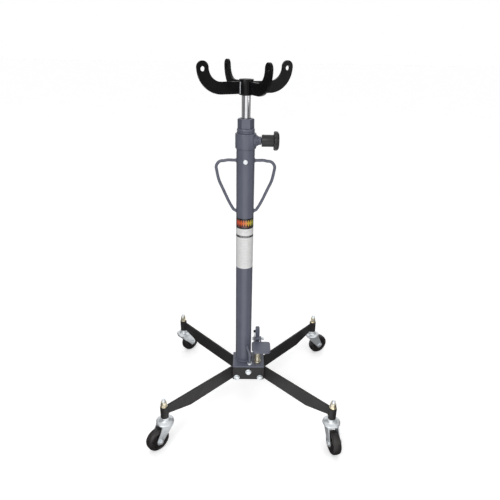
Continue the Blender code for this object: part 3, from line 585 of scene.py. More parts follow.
def label_patch(name, low, high, half_angle, lift):
    """A thin sheet wrapped round the column's front, with a UV map that runs 0 to 1 over its face."""
    columns, rows = 72, 12
    shape = bmesh.new()
    layer = shape.loops.layers.uv.new("UVMap")
    grids = []
    for radius in (TUBE_RADIUS + lift, TUBE_RADIUS + 0.00003):
        grid = []
        for row in range(rows + 1):
            height = low + (high - low) * row / rows
            line = []
            for column in range(columns + 1):
                angle = math.radians(-90 - half_angle + 2 * half_angle * column / columns)
                line.append(shape.verts.new(
                    COLUMN + Vector((radius * math.cos(angle), radius * math.sin(angle), height))
                ))
            grid.append(line)
        grids.append(grid)
    outer, inner = grids
    for row in range(rows):
        for column in range(columns):
            corners = [(row, column), (row, column + 1), (row + 1, column + 1), (row + 1, column)]
            face = shape.faces.new([outer[r][c] for r, c in corners])
            for loop, (r, c) in zip(face.loops, corners):
                loop[layer].uv = (c / columns, r / rows)
            shape.faces.new([inner[r][c] for r, c in corners[::-1]])
    rim = [(0, c) for c in range(columns)] + [(r, columns) for r in range(rows)]
    rim += [(rows, c) for c in range(columns, 0, -1)] + [(r, 0) for r in range(rows, 0, -1)]
    for (r, c), (s, d) in zip(rim, rim[1:] + rim[:1]):
        shape.faces.new((outer[r][c], outer[s][d], inner[s][d], inner[r][c]))
    return mesh_object(name, shape, 30)


def uv_parts(made):
    made.place = made.add("ShaderNodeTexCoord").outputs["UV"]
    split = made.add("ShaderNodeSeparateXYZ")
    made.link(made.place, split.inputs[0])
    return split.outputs["X"], split.outputs["Y"]


def maths(made, operation, first, second=0.0):
    node = made.add("ShaderNodeMath", operation=operation)
    for source, socket in ((first, node.inputs[0]), (second, node.inputs[1])):
        if hasattr(source, "is_output"):
            made.link(source, socket)
        else:
            socket.default_value = source
    return node.outputs[0]


def between(made, value, low, high):
    above = maths(made, "GREATER_THAN", value, low)
    below = maths(made, "LESS_THAN", value, high)
    return maths(made, "MULTIPLY", above, below)


def band_material():
    """Black band with a row of plain lozenges that run from red through orange to yellow-green."""
    made = Shader("label_band")
    across, upward = uv_parts(made)
    colours = made.ramp(across, [(0.12, (0.62, 0.045, 0.03)), (0.50, (0.72, 0.16, 0.03)),
                                 (0.66, (0.66, 0.42, 0.04)), (0.90, (0.30, 0.42, 0.05))])
    wave = maths(made, "PINGPONG", maths(made, "MULTIPLY", across, 22.0), 1.0)
    tilt = maths(made, "ABSOLUTE", maths(made, "SUBTRACT", upward, 0.56))
    lozenge = maths(made, "LESS_THAN", maths(made, "ADD", maths(made, "MULTIPLY", tilt, 2.6), wave), 1.05)
    inside = maths(made, "MULTIPLY", between(made, across, 0.13, 0.88), between(made, upward, 0.28, 0.84))
    shown = maths(made, "MULTIPLY", lozenge, inside)
    base = made.mix(shown, (0.010, 0.010, 0.010), colours)
    line = maths(made, "MULTIPLY", between(made, upward, 0.185, 0.215), between(made, across, 0.22, 0.66))
    made.set(Base_Color=made.mix(line, base, (0.40, 0.12, 0.10)),
             Roughness=made.ramp(made.noise(40, 3), [(0.3, 0.24), (0.7, 0.34)]))
    made.main.inputs["Coat Weight"].default_value = 0.4
    return made.material


def sheet_material():
    """White sheet with faint grey rules, a black stripe and a plain frame."""
    made = Shader("label_sheet")
    across, upward = uv_parts(made)
    lines = maths(made, "GREATER_THAN", maths(made, "FRACT", maths(made, "MULTIPLY", upward, 26.0)), 0.62)
    dashes = made.ramp(made.noise(1.0, 3, 0.6, made.stretched((46, 26, 1))), [(0.42, 0.0), (0.50, 1.0)])
    body = maths(made, "MULTIPLY", between(made, across, 0.22, 0.80), between(made, upward, 0.06, 0.74))
    words = maths(made, "MULTIPLY", maths(made, "MULTIPLY", lines, dashes), body)
    paper = made.ramp(made.noise(9, 4), [(0.3, (0.76, 0.76, 0.755)), (0.7, (0.83, 0.83, 0.825))])
    colour = made.mix(maths(made, "MULTIPLY", words, 0.26), paper, (0.30, 0.30, 0.31))
    rings = maths(made, "PINGPONG", maths(made, "MULTIPLY", across, 9.0), 1.0)
    marks = between(made, maths(made, "ADD", rings, maths(made, "MULTIPLY", upward, 14.0)), 13.55, 13.78)
    marks = maths(made, "MULTIPLY", marks, between(made, across, 0.24, 0.78))
    colour = made.mix(maths(made, "MULTIPLY", marks, 0.30), colour, (0.30, 0.30, 0.31))
    stripe = between(made, upward, 0.785, 0.835)
    dots = maths(made, "MULTIPLY", between(made, upward, 0.798, 0.822), between(made, across, 0.30, 0.70))
    dots = maths(made, "MULTIPLY", dots, maths(made, "GREATER_THAN", made.noise(60, 2), 0.5))
    stripe_colour = made.mix(dots, (0.03, 0.03, 0.03), (0.55, 0.55, 0.55))
    made.set(Base_Color=made.mix(stripe, colour, stripe_colour),
             Roughness=made.ramp(made.noise(30, 3), [(0.3, 0.34), (0.7, 0.46)]))
    made.main.inputs["Coat Weight"].default_value = 0.25
    return made.material


def build_labels():
    FINISH["label_band"] = band_material()
    FINISH["label_sheet"] = sheet_material()
    band = label_patch("label_band", BAND_BOTTOM, BAND_TOP, BAND_HALF_ANGLE, LABEL_LIFT)
    piece(band, "base", "label_band")
    sheet = label_patch("label_sheet", SHEET_BOTTOM, BAND_BOTTOM - 0.0002, SHEET_HALF_ANGLE, LABEL_LIFT)
    piece(sheet, "base", "label_sheet")


# --- ram, saddle and lock -----------------------------------------------------------------------

ARM_BEND_X, ARM_OUTER, ARM_INNER = 0.0757, 0.0700, 0.0370
ARM_HALF = 0.0035
ARM_HOLE, ARM_HOLE_DROP = 0.0065, 0.0040


def build_ram():
    low, high = bottom("ram_rod"), top("saddle_hub") - 0.0425
    radius = 0.0130
    profile = [(0, low), (radius, low), (radius, high - 0.0010), (radius - 0.0010, high), (0.0100, high)]
    profile += [(0.0100, top("ram_rod")), (0, top("ram_rod"))]
    turned_piece("ram_polished", profile, COLUMN, "ram", "chrome", "ram_rod", segments=128)


def build_hub():
    low, high = bottom("saddle_hub"), top("saddle_hub")
    outer = half_width("saddle_hub")
    profile = [(0.0104, low), (outer - 0.0014, low), (outer - 0.0004, low + 0.0006), (outer, low + 0.0016)]
    profile += [(outer, high - 0.0016), (outer - 0.0005, high - 0.0005), (outer - 0.0016, high)]
    seat = high - 0.0042
    profile += [(0.0126, high), (0.0118, high - 0.0006), (0.0118, seat), (0.0066, seat)]
    profile += [(0.0066, low + 0.0325), (0.0104, low + 0.0325)]
    turned_piece("saddle_hub_turned", profile, COLUMN, "saddle", "black_gloss", "saddle_hub", segments=96)
    cap = hex_solid(0.0190, seat + 0.0003, high - 0.0006)
    cap.name = "saddle_screw_head"
    cap.data.transform(Matrix.Translation(COLUMN))
    piece(cap, "ram", "black_gloss", "saddle_screw")


def arm_outline(start, bend_z):
    centre = (ARM_BEND_X, bend_z)
    eye_x = ARM_BEND_X + (ARM_OUTER + ARM_INNER) / 2
    outer = arc(centre, ARM_OUTER, 270, 360, 32)
    eye = arc((eye_x, bend_z), (ARM_OUTER - ARM_INNER) / 2, 0, 180, 28)
    inner = arc(centre, ARM_INNER, 360, 270, 26)
    return [(start, bend_z - ARM_OUTER)] + outer + eye[1:] + inner[1:] + [(start, bend_z - ARM_INNER)]


def build_arms():
    start = half_width("saddle_hub") - 0.0010
    bend_z = top("saddle_arm_left") - (ARM_OUTER - ARM_INNER) / 2
    eye_x = ARM_BEND_X + (ARM_OUTER + ARM_INNER) / 2
    for name in ("left", "front", "right", "rear"):
        node = f"saddle_arm_{name}"
        turn = arm_turn(name)
        arm = mesh_object(f"{node}_plate", slab(arm_outline(start, bend_z), -ARM_HALF, ARM_HALF, "XZ"))
        hole = turn_to(rod(ARM_HOLE, -0.02, 0.02, 56), BACK)
        boolean(arm, mesh_object("hole", shift(hole, (eye_x, 0, bend_z - ARM_HOLE_DROP))))
        place = Matrix.Translation(COLUMN) @ Matrix.Rotation(turn, 4, "Z")
        arm.data.transform(place)
        piece(round_edges(arm, 0.0009, 3, 50), "saddle", "black_gloss", node)
        low, high = bend_z - ARM_OUTER + 0.001, bend_z - ARM_INNER - 0.001
        # Painted highlight: the left arm's weld beads are bright metal in place of the glint of light on them; the
        # other arms' beads stay black gloss.
        finish = "weld_glint_highlight" if name == "left" else "black_gloss"
        for letter, side in (("a", -1), ("b", 1)):
            across = side * (ARM_HALF + 0.0008)
            bead = [place @ Vector((start + 0.0012, across, low + (high - low) * s / 30)) for s in range(31)]
            weld(f"{node}_weld_{letter}", bead, 0.0021, finish, "saddle", ripples=9)


def arm_turn(name):
    """The arm's heading, read from its eye mount in the record."""
    mount = next(m for m in frame["record"]["mounts"] if m["name"] == f"arm_eye_face_{name}")
    return math.atan2(-mount["axis"][0], mount["axis"][1])


LOBES = 7


def build_lock():
    at = Vector((COLUMN.x, COLUMN.y, joint_place("lock_turn").z))
    low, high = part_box("lock_knob")
    inner, outer = low.x - COLUMN.x, high.x - COLUMN.x
    screw = [(0, inner)]
    steps = 22
    pitch = 0.0012
    for step in range(steps):
        screw += [(0.0043, inner + pitch * step), (0.0050, inner + pitch * (step + 0.5))]
    screw += [(0.0043, inner + pitch * steps), (0, inner + pitch * steps)]
    screw = shift(turn_to(turned(screw, 36), RIGHT), at)
    piece(mesh_object("lock_screw_thread", screw, 80), "lock_knob", "steel")
    barrel, start, shoulder = 0.0175, 0.0457, 0.0812
    body = [(0, start), (0.0090, start), (0.0090, start + 0.0008), (barrel - 0.0014, start + 0.0008)]
    body += [(barrel - 0.0004, start + 0.0013), (barrel, start + 0.0024)]
    body += [(barrel - 0.0002, shoulder + 0.0010), (0, shoulder + 0.0010)]
    body = shift(turn_to(turned(body, 96), RIGHT), at)
    piece(mesh_object("lock_knob_barrel", body), "lock_knob", "black_plastic", "lock_knob")
    tip = (high.y - low.y) / 2

    def lobes(angle, radius):
        valley = 1 - abs(math.cos(LOBES * angle / 2)) ** 0.8
        return -0.0042 * valley * (radius / tip) ** 6

    face = [(0, shoulder), (barrel + 0.0020, shoulder), (tip - 0.0026, shoulder + 0.0004)]
    face += [(tip - 0.0008, shoulder + 0.0014), (tip, shoulder + 0.0032), (tip, outer - 0.0068)]
    face += [(tip - 0.0007, outer - 0.0048), (tip - 0.0030, outer - 0.0026), (tip - 0.0062, outer - 0.0008)]
    face += [(tip - 0.0085, outer - 0.0002), (0.0118, outer), (0.0112, outer - 0.0012)]
    face += [(0.0060, outer - 0.0014), (0, outer - 0.0014)]
    head = shift(turn_to(turned(face, 168, lobes), RIGHT), at)
    piece(mesh_object("lock_knob_star", head, 40), "lock_knob", "black_plastic")


# --- legs and casters -----------------------------------------------------------------------------

BAR = 0.006
SLEEVE_RADIUS, SLEEVE_BORE = 0.0125, 0.0070
SLEEVE_LIFT = 0.019
LEG_KINK = 0.67
LEG_BEND_RADIUS = 0.012


def leg_stations(side_x, side_y, stem):
    """Plan points of a leg bar's centre line with each one's share of the straight run."""
    foot_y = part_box("crossbar_rear")[0].y - HUB.y - 0.0003 - BAR / 2
    bend = Vector((0.058, foot_y))
    target = Vector((abs(stem.x - HUB.x), abs(stem.y - HUB.y)))
    heading = (target - bend).normalized()
    angle = math.atan2(heading.y, heading.x)
    cut = LEG_BEND_RADIUS * math.tan(angle / 2)
    centre = Vector((bend.x - cut, bend.y + LEG_BEND_RADIUS))
    plan = [(Vector((0.028, foot_y)), Vector((0, 1)), 0.0)]
    for step in range(9):
        a = angle * step / 8
        point = centre + LEG_BEND_RADIUS * Vector((math.sin(a), -math.cos(a)))
        plan.append((point, Vector((-math.sin(a), math.cos(a))), 0.0))
    length = (target - bend).length - cut - SLEEVE_RADIUS + 0.001
    normal = Vector((-heading.y, heading.x))
    for share in (0.30, 0.60, LEG_KINK - 0.02, LEG_KINK, LEG_KINK + 0.02, 0.85, 1.0):
        plan.append((bend + heading * (cut + length * share), normal, share))
    place = Matrix.Diagonal((side_x, side_y))
    return [(HUB.xy + place @ point, place @ normal, share) for point, normal, share in plan]


def build_leg(corner, stem):
    side_x = 1 if stem.x > HUB.x else -1
    side_y = 1 if stem.y > HUB.y else -1
    base, rise = bottom("crossbar_front"), top("crossbar_front")
    end_top, end_bottom, kink_bottom = rise + 0.0075, base + 0.026, base + 0.002
    shape = bmesh.new()
    rings = []
    for point, normal, share in leg_stations(side_x, side_y, stem):
        high = rise + (end_top - rise) * share
        if share <= LEG_KINK:
            low = base + (kink_bottom - base) * share / LEG_KINK
        else:
            low = kink_bottom + (end_bottom - kink_bottom) * (share - LEG_KINK) / (1 - LEG_KINK)
        near, far = point - normal * BAR / 2, point + normal * BAR / 2
        rings.append([shape.verts.new((*near, low)), shape.verts.new((*far, low)),
                      shape.verts.new((*far, high)), shape.verts.new((*near, high))])
    for first, second in zip(rings, rings[1:]):
        for k in range(4):
            after = (k + 1) % 4
            shape.faces.new((first[k], first[after], second[after], second[k]))
    shape.faces.new(rings[0])
    shape.faces.new(rings[-1][::-1])
    bar = round_edges(mesh_object(f"leg_bar_{corner}", shape), 0.0010, 3, 50)
    piece(bar, "base", "black_paint", f"leg_{corner}")
    low, high = base + SLEEVE_LIFT, top(f"leg_{corner}")
    profile = [(SLEEVE_RADIUS - 0.0008, low), (SLEEVE_RADIUS, low + 0.0008), (SLEEVE_RADIUS, high - 0.0008)]
    profile += [(SLEEVE_RADIUS - 0.0008, high), (SLEEVE_BORE + 0.0006, high)]
    profile += [(SLEEVE_BORE, high - 0.0006), (SLEEVE_BORE, low)]
    at = Vector((stem.x, stem.y, 0))
    turned_piece(f"stem_sleeve_{corner}", profile, at, "base", "black_paint", segments=64)
    inward = (HUB - at).normalized()
    aside = Vector((-inward.y, inward.x, 0))
    seam = end_top - end_bottom - 0.001
    for letter, side in (("a", -1), ("b", 1)):
        foot = at + inward * (SLEEVE_RADIUS - 0.0006) + aside * side * (BAR / 2 + 0.0007)
        bead = [foot + UP * (end_bottom + seam * s / 24) for s in range(25)]
        weld(f"sleeve_weld_{corner}_{letter}", bead, 0.0018, "black_paint", ripples=8)


def thread(radius, low, high, pitch=0.0016, depth=0.0006):
    """Turned rings with a thread's profile."""
    count = int((high - low) / pitch)
    points = []
    for step in range(count):
        points += [(radius - depth, low + pitch * step), (radius, low + pitch * (step + 0.5))]
    return points + [(radius - depth, low + pitch * count)]


def build_stem(corner, stem):
    """Kingpin, upper race and the threaded stem that rises through the sleeve."""
    node = f"caster_stem_{corner}"
    low, high = bottom(node), top(node)
    sleeve_low, sleeve_high = bottom("crossbar_front") + SLEEVE_LIFT, top(f"leg_{corner}")
    race = half_width(node)
    under = low + 0.0110
    crown = low + 0.0037
    profile = [(0, low), (0.0085, low + 0.0001), (0.0108, low + 0.0012), (0.0108, crown)]
    profile += [(0.0070, crown), (0.0070, under), (race - 0.0034, under), (race - 0.0008, under + 0.0004)]
    profile += [(race, under + 0.0014), (race, under + 0.0026), (race - 0.0014, under + 0.0040)]
    profile += [(race - 0.0050, under + 0.0053), (race - 0.0095, under + 0.0068), (0.0158, under + 0.0082)]
    profile += [(0.0140, under + 0.0094), (0.0128, under + 0.0112), (0.0125, under + 0.0125)]
    profile += [(0.0125, sleeve_low - 0.0012), (0.0118, sleeve_low - 0.0003), (0.0060, sleeve_low - 0.0003)]
    profile += [(0.0060, sleeve_high + 0.004)] + thread(0.0060, sleeve_high + 0.0045, high - 0.0012)
    profile += [(0.0044, high), (0, high)]
    at = Vector((stem.x, stem.y, 0))
    turned_piece(f"swivel_stem_{corner}", profile, at, "base", "zinc", node, sharp=40)
    build_stem_nut(corner, at, sleeve_high + 0.0003, high)


def build_stem_nut(corner, at, low, stem_end):
    """Washer, hex nut and the round collar above it."""
    washer = [(0.0064, low), (0.0112, low), (0.0115, low + 0.0006)]
    washer += [(0.0112, low + 0.0013), (0.0064, low + 0.0013)]
    turned_piece(f"stem_washer_{corner}", washer, at, "base", "yellow_zinc", segments=48)
    nut = hex_solid(0.0205, low + 0.0014, low + 0.0098)
    boolean(nut, mesh_object("bore", rod(0.0061, low - PAST, low + 0.03, 48)))
    nut.name = f"lock_nut_{corner}"
    nut.data.transform(Matrix.Translation(at) @ Matrix.Rotation(0.4 + at.x, 4, "Z"))
    piece(nut, "base", "yellow_zinc", f"stem_nut_{corner}")
    rim = min(low + 0.0185, stem_end - 0.0012)
    collar = [(0.0062, low + 0.0090), (0.0090, low + 0.0090), (0.0088, rim - 0.0012), (0.0080, rim)]
    collar += [(0.0062, rim)]
    turned_piece(f"nut_collar_{corner}", collar, at, "base", "yellow_zinc", segments=48)


def wheel_frame(corner):
    """Turns shapes made with the trail along +X and the axle along +Y into place."""
    axis = Vector(JOINTS[f"wheel_roll_{corner}"]["axis"])
    trail = Vector((axis.y, -axis.x, 0))
    return Matrix((trail, axis, UP)).transposed().to_4x4()


FORK_INNER, FORK_WALL = 0.0150, 0.0028
RIBS = 6


def build_fork(corner, stem, wheel):
    body = f"fork_{corner}"
    place = Matrix.Translation((stem.x, stem.y, 0)) @ wheel_frame(corner)
    trail = (wheel - stem).xy.length
    crown_top = bottom(f"caster_stem_{corner}") + 0.0070
    crown_low = crown_top - 0.0030
    half = FORK_INNER + FORK_WALL
    back, front = -0.0200, 0.0215
    tip = arc((trail, wheel.z), 0.0115, 200, 375, 24)
    cheek = [(back, crown_top), (back + 0.001, crown_low - 0.004)] + tip
    cheek += [(front + 0.004, crown_low - 0.007), (front, crown_top)]
    crown = [(back, -half), (front, -half), (front, half), (back, half)]
    fork = mesh_object(f"fork_{corner}", slab(crown, crown_low, crown_top))
    for side in (-1, 1):
        inner, outer = sorted((side * FORK_INNER, side * half))
        boolean(fork, mesh_object("cheek", slab(cheek, inner, outer, "XZ")), "UNION")
    boolean(fork, mesh_object("hole", rod(0.0074, crown_low - PAST, crown_top + PAST)))
    bore = shift(turn_to(rod(0.0045, -0.04, 0.04), BACK), (trail, 0, wheel.z))
    boolean(fork, mesh_object("axle_bore", bore))
    fork.data.transform(place)
    piece(round_edges(fork, 0.0009, 3, 40), body, "zinc", f"caster_fork_{corner}")
    race = 0.0262
    cup = [(0.0078, crown_top - 0.0002), (race - 0.0045, crown_top - 0.0002)]
    cup += [(race - 0.0020, crown_top + 0.0006), (race, crown_top + 0.0022), (race, crown_top + 0.0036)]
    cup += [(race - 0.0014, crown_top + 0.0036), (0.0078, crown_top + 0.0032)]
    cup = mesh_object(f"fork_race_{corner}", turned(cup, 72))
    cup.data.transform(place)
    piece(cup, body, "zinc")
    build_axle(corner, body, place, trail, wheel.z, half)


def build_axle(corner, body, place, trail, height, half):
    at = Vector((trail, 0, height))
    shank = turn_to(rod(0.0041, -half - 0.001, half + 0.0078), BACK)
    shank = mesh_object(f"axle_bolt_{corner}", shift(shank, at))
    shank.data.transform(place)
    piece(shank, body, "zinc", f"caster_axle_{corner}")
    head = hex_solid(0.0150, half + 0.0004, half + 0.0042)
    nut = hex_solid(0.0145, half + 0.0010, half + 0.0056)
    for made, name, way in ((head, "axle_head", -1), (nut, "axle_nut", 1)):
        made.name = f"{name}_{corner}"
        made.data.transform(UP.rotation_difference(Vector((0, way, 0))).to_matrix().to_4x4())
        made.data.transform(place @ Matrix.Translation(at))
        piece(made, body, "zinc")
    near, far = half + 0.0001, half + 0.0010
    washer = turned([(0.0046, near), (0.0086, near), (0.0086, far), (0.0046, far)], 40)
    washer = mesh_object(f"axle_washer_{corner}", shift(turn_to(washer, BACK), at))
    washer.data.transform(place)
    piece(washer, body, "zinc")


def build_wheel(corner, wheel):
    node = f"caster_wheel_{corner}"
    radius = wheel.z
    half = 0.0130
    side = [(0.0047, half), (0.0088, half), (0.0095, half - 0.0006), (0.0102, half - 0.0052)]
    side += [(0.0235, half - 0.0056), (0.0250, half - 0.0050), (0.0258, half - 0.0012)]
    side += [(0.0268, half - 0.0004), (radius - 0.0060, half - 0.0001), (radius - 0.0040, half - 0.0006)]
    side += [(radius - 0.0022, half - 0.0020), (radius - 0.0010, half - 0.0042)]
    side += [(radius - 0.0003, half - 0.0070), (radius - 0.0003, 0.0010)]
    seam = [(radius, 0.0004), (radius, -0.0004)]
    mirrored = [(r, -h) for r, h in reversed(side)]
    place = Matrix.Translation(wheel) @ wheel_frame(corner)
    rim = mesh_object(f"wheel_rim_{corner}", turn_to(turned(side + seam + mirrored, 96), BACK))
    rim.data.transform(place)
    piece(rim, f"wheel_{corner}", "tyre", node)
    outline = [(0.0095, -0.0012), (0.0245, -0.0009), (0.0245, 0.0009), (0.0095, 0.0012)]
    for letter, way in (("a", -1), ("b", 1)):
        low, high = sorted((way * (half - 0.0058), way * (half - 0.0022)))
        for step in range(RIBS):
            rib = turn_to(spin_z(slab(outline, low, high), TAU * step / RIBS), BACK)
            rib = mesh_object(f"wheel_rib_{corner}_{letter}{step}", rib)
            rib.data.transform(place)
            piece(round_edges(rib, 0.0004, 2), f"wheel_{corner}", "tyre")


def build_casters():
    for corner in CORNERS:
        stem = joint_place(f"caster_swivel_{corner}")
        wheel = joint_place(f"wheel_roll_{corner}")
        build_leg(corner, stem)
        build_stem(corner, stem)
        build_fork(corner, stem, wheel)
        build_wheel(corner, wheel)


# --- hub, bolts and pump ----------------------------------------------------------------------------


def build_hub_bolts():
    for row, way in (("front", -1), ("rear", 1)):
        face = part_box(f"crossbar_{row}")[0 if way < 0 else 1].y
        for index, place in enumerate(("left", "centre", "right")):
            node = f"hub_bolt_{row}_{place}"
            at = middle(node)
            at.y = face
            washer = [(0, 0.0001), (0.0101, 0.0001), (0.0104, 0.0006), (0.0100, 0.0016), (0, 0.0016)]
            head = hex_solid(0.0182, 0.0014, 0.0066)
            head.name = f"{node}_head"
            head.data.transform(Matrix.Rotation(0.35 + 0.9 * index, 4, "Z"))
            flange = mesh_object(f"{node}_washer", turned(washer, 56))
            for made in (head, flange):
                point_to(made, (0, way, 0), at)
            piece(flange, "base", "zinc")
            piece(head, "base", "zinc", node)


def build_block():
    """The casting and crossbars keep their CAD shape, with worked edges."""
    for node, width in (("base_block", 0.0004), ("crossbar_front", 0.0007), ("crossbar_rear", 0.0007),
                        ("pump_bracket", 0.0007)):
        round_edges(frame["nodes"][node], width, 2, 50)


def build_pump():
    low, high = bottom("pump_barrel"), top("pump_barrel")
    flange = half_width("pump_barrel")
    seat = top("base_block") + 0.0003
    barrel = [(0.0085, low), (0.0085, seat), (flange - 0.0004, seat), (flange, seat + 0.0006)]
    barrel += [(flange, high - 0.0024), (flange - 0.0006, high - 0.0008), (flange - 0.0018, high)]
    barrel += [(0.0054, high), (0.0054, low)]
    turned_piece("pump_barrel_turned", barrel, PUMP, "base", "yellow_zinc", "pump_barrel")
    low, high = bottom("pump_plunger"), top("pump_plunger")
    seat = high - 0.0050
    cap = half_width("pump_plunger")
    plunger = [(0, low), (0.0046, low), (0.0050, low + 0.0006), (0.0050, seat), (cap - 0.0006, seat)]
    plunger += [(cap, seat + 0.0004), (cap, seat + 0.0012), (cap - 0.0006, seat + 0.0017)]
    plunger += [(0.0052, seat + 0.0018), (0.0045, seat + 0.0024), (0.0044, high - 0.0014)]
    plunger += [(0.0036, high - 0.0005), (0.0022, high), (0, high)]
    turned_piece("pump_plunger_turned", plunger, PUMP, "plunger", "zinc", "pump_plunger", segments=64)
    build_spring()
    build_pedal()
    build_release()


def build_spring():
    """Return spring, which the plunger's stroke squeezes on the jack: closed coils at both ends, built as one
    fixed coil on the base.
    """
    low, high = bottom("pump_spring"), top("pump_spring")
    wire = 0.0014
    coil = 0.0090
    ends, turns = 1.0, 6.5
    first = low + wire
    rise = high - low - 2 * wire - 2 * ends * 2.05 * wire
    route = helix(coil, first, first + 2.05 * wire * ends, ends)
    middle_part = helix(coil, route[-1].z, route[-1].z + rise, turns)
    last = helix(coil, middle_part[-1].z, middle_part[-1].z + 2.05 * wire * ends, ends)
    half_turn = Matrix.Rotation(TAU * turns, 3, "Z")
    route = route + middle_part[1:] + [half_turn @ point for point in last[1:]]
    coil_piece = mesh_object("pump_spring_wire", shift(swept(route, wire, 12), PUMP), 60)
    piece(coil_piece, "base", "yellow_zinc", "pump_spring")
    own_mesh(coil_piece)


PEDAL_TOP = 0.2080


def build_pedal():
    """Foot plate with its edges turned down, on two ears."""
    low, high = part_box("foot_pedal")
    pivot = joint_place("pedal_press")
    left, right, near = low.x, high.x, low.y
    back = PUMP.y + 0.0400
    face = PEDAL_TOP
    corner = 0.010
    outline = arc((right - corner, back - corner), corner, 0, 90, 8)
    outline += arc((left + corner, back - corner), corner, 90, 180, 8)
    outline += arc((left + corner, near + corner), corner, 180, 270, 8)
    outline += arc((right - corner, near + corner), corner, 270, 360, 8)
    plate = mesh_object("pedal_plate", slab(outline, face - 0.0035, face))
    piece(round_edges(plate, 0.0014, 4), "pedal", "grey_paint", "foot_pedal")
    skirt = arc((left + corner, near + corner), corner, 225, 270, 5)
    skirt += arc((right - corner, near + corner), corner, 270, 360, 8) + [(right, back - corner)]
    inside = [(x + (0.0028 if x < (left + right) / 2 else -0.0028), y + 0.0028) for x, y in reversed(skirt)]
    apron = mesh_object("pedal_apron", slab(skirt + inside, face - 0.0105, face - 0.0010))
    piece(round_edges(apron, 0.0008, 2), "pedal", "grey_paint")
    ear_radius = 0.0085
    strap = half_width("pedal_pin")
    for name, side in (("left", -1), ("right", 1)):
        inner, outer = sorted((PUMP.x + side * 0.0093, PUMP.x + side * 0.0138))
        ear = [(pivot.y - 0.0230, face - 0.0034), (pivot.y - 0.0230, face - 0.0004)]
        ear += arc((pivot.y, pivot.z), ear_radius, 118, -62, 20)
        ear = mesh_object(f"pedal_ear_{name}", slab(ear, inner, outer, "YZ"))
        piece(round_edges(ear, 0.0006, 2), "pedal", "grey_paint")
    nut = hex_solid(0.0125, strap - 0.0005, strap + 0.0045)
    nut.name = "pedal_pin_nut"
    point_to(nut, RIGHT, pivot)
    piece(nut, "base", "zinc")
    build_bracket_fittings(pivot)


def build_bracket_fittings(pivot):
    """Black stop nut near the strap's top and the bright link that hangs from it."""
    strap_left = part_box("pump_bracket")[0].x + 0.0030
    at = Vector((strap_left, pivot.y, top("pump_bracket") - 0.0190))
    nut = hex_solid(0.0110, -0.0010, 0.0060)
    nut.name = "stop_nut"
    point_to(nut, -RIGHT, at)
    piece(nut, "base", "black_plastic")
    drop = [at + Vector((-0.0030, -0.0050, -0.0010)), at + Vector((-0.0032, -0.0062, -0.0080)),
            at + Vector((-0.0028, -0.0060, -0.0180)), at + Vector((-0.0034, -0.0060, -0.0250))]
    link = mesh_object("stop_link", swept(smooth_path(drop, 8), 0.0013, 14), 60)
    piece(link, "base", "zinc")


def build_release():
    at = joint_place("release_turn")
    at.z = 0.0
    low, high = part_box("release_lever")
    seat = high.z - 0.0340
    stem = [(0, low.z), (0.0044, low.z), (0.0045, low.z + 0.0004), (0.0045, seat - 0.0012)]
    stem += [(0.0038, seat), (0, seat)]
    turned_piece("release_stem", stem, at, "release", "grey_paint", segments=48)
    gland = [(0.0046, 0.1503), (0.0086, 0.1503), (0.0090, 0.1510), (0.0090, 0.1545)]
    gland += [(0.0080, 0.1556), (0.0046, 0.1556)]
    turned_piece("release_gland", gland, at, "base", "zinc", segments=48)
    outline = [(0.0046, seat - 0.0110), (-0.0040, seat - 0.0110), (-0.0046, seat - 0.0010)]
    outline += [(-0.0125, seat + 0.0310), (-0.0118, seat + 0.0334), (-0.0098, seat + 0.0338)]
    outline += [(-0.0084, seat + 0.0324), (0.0026, seat - 0.0010), (0.0046, seat - 0.0040)]
    lug = mesh_object("release_lug", shift(slab(outline, -0.0110, 0.0030, "XZ"), at))
    piece(round_edges(lug, 0.0009, 3), "release", "grey_paint", "release_lever")


# --- studio and camera --------------------------------------------------------------------------------

CAMERA_BACK, CAMERA_HEIGHT = 1.3598, 1.1855
CAMERA_PITCH, CAMERA_PAN, CAMERA_ROLL = 24.5, -0.68, -0.94
CAMERA_LENS, SENSOR = 33.18, 36.0
CAMERA_SHIFT = (0.0011, 0.0044)
FLOOR_GLOW = 0.42
SIDE_TONES = ((0.00, 0.98), (0.46, 0.98), (0.64, 0.05), (0.92, 0.07), (1.00, 0.40))


def build_camera():
    pitch, pan, roll = (math.radians(v) for v in (CAMERA_PITCH, CAMERA_PAN, CAMERA_ROLL))
    across = Vector((math.cos(pan), math.sin(pan), 0))
    level = Vector((-math.sin(pan), math.cos(pan), 0))
    forward = math.cos(pitch) * level - math.sin(pitch) * UP
    above = math.sin(pitch) * level + math.cos(pitch) * UP
    right = math.cos(roll) * across - math.sin(roll) * above
    raised = math.sin(roll) * across + math.cos(roll) * above
    data = bpy.data.cameras.new("camera")
    data.lens = CAMERA_LENS
    data.sensor_width = SENSOR
    data.shift_x, data.shift_y = CAMERA_SHIFT
    camera = bpy.data.objects.new("camera", data)
    turn = Matrix((right, raised, -forward)).transposed().to_4x4()
    camera.matrix_world = Matrix.Translation(COLUMN + Vector((0, -CAMERA_BACK, CAMERA_HEIGHT))) @ turn
    bpy.context.scene.collection.objects.link(camera)
    bpy.context.scene.camera = camera


def area_light(name, place, size, power, aim=(0, 0, 0.6)):
    data = bpy.data.lights.new(name, "AREA")
    data.shape = "RECTANGLE"
    data.size, data.size_y = size
    data.energy = power
    light = bpy.data.objects.new(name, data)
    light.location = place
    light.rotation_euler = (Vector(aim) - Vector(place)).to_track_quat("-Z", "Y").to_euler()
    bpy.context.scene.collection.objects.link(light)


def sideways(tree, direction):
    """How far a direction points to the left or the right, from 0 to 1."""
    split = tree.nodes.new("ShaderNodeSeparateXYZ")
    side = tree.nodes.new("ShaderNodeMath")
    side.operation = "ABSOLUTE"
    tree.links.new(direction, split.inputs[0])
    tree.links.new(split.outputs["X"], side.inputs[0])
    return side.outputs[0]


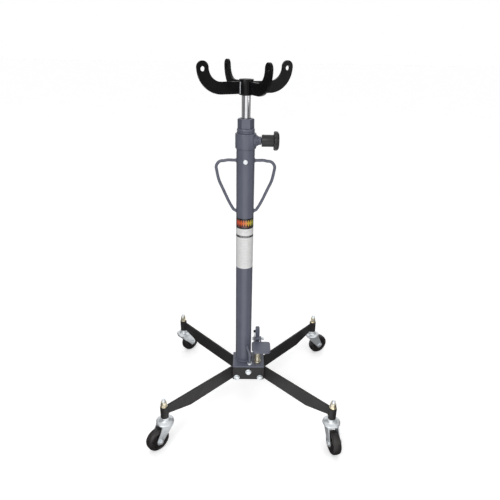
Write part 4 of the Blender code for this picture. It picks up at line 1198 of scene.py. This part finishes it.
def build_world():
    """White to the camera; for the lighting, bright in front, above and behind, dark at the sides."""
    world = bpy.data.worlds.new("studio")
    world.use_nodes = True
    tree = world.node_tree
    place = tree.nodes.new("ShaderNodeTexCoord")
    side = sideways(tree, place.outputs["Generated"])
    tones = tree.nodes.new("ShaderNodeValToRGB")
    elements = tones.color_ramp.elements
    while len(elements) < len(SIDE_TONES):
        elements.new(0.5)
    for element, (position, tone) in zip(elements, SIDE_TONES):
        element.position = position
        element.color = (tone, tone, tone, 1)
    path = tree.nodes.new("ShaderNodeLightPath")
    pick = tree.nodes.new("ShaderNodeMix")
    pick.data_type = "RGBA"
    pick.inputs[7].default_value = (1, 1, 1, 1)
    tree.links.new(side, tones.inputs["Fac"])
    tree.links.new(path.outputs["Is Camera Ray"], pick.inputs[0])
    tree.links.new(tones.outputs["Color"], pick.inputs[6])
    tree.links.new(pick.outputs[2], tree.nodes["Background"].inputs["Color"])
    bpy.context.scene.world = world


def build_studio():
    shape = bmesh.new()
    bmesh.ops.create_grid(shape, x_segments=1, y_segments=1, size=30)
    floor = mesh_object("floor", shift(shape, (0, 0, -0.0005)))
    made = Shader("floor")
    outward = made.add("ShaderNodeVectorMath", operation="NORMALIZE")
    made.link(made.place, outward.inputs[0])
    tone = made.ramp(sideways(made.tree, outward.outputs[0]), SIDE_TONES)
    white = made.ramp(made.noise(2, 3), [(0.3, 0.90), (0.7, 0.92)])
    tone = made.mix(made.add("ShaderNodeLightPath").outputs["Is Camera Ray"], tone, white)
    made.set(Base_Color=tone, Emission_Color=tone, Roughness=0.9)
    made.main.inputs["Specular IOR Level"].default_value = 0.0
    made.main.inputs["Emission Strength"].default_value = FLOOR_GLOW
    floor.data.materials.append(made.material)
    build_world()
    area_light("key", (-1.6, -2.6, 2.6), (1.6, 1.6), 36)
    area_light("fill", (2.6, -1.4, 1.6), (1.4, 2.0), 12)
    bpy.context.scene.view_settings.view_transform = "Standard"


dress_frame()
build_column()
build_collar()
build_gland()
build_handles()
build_plug()
build_labels()
build_ram()
build_hub()
build_arms()
build_lock()
build_casters()
build_hub_bolts()
build_block()
build_pump()
build_camera()
build_studio()
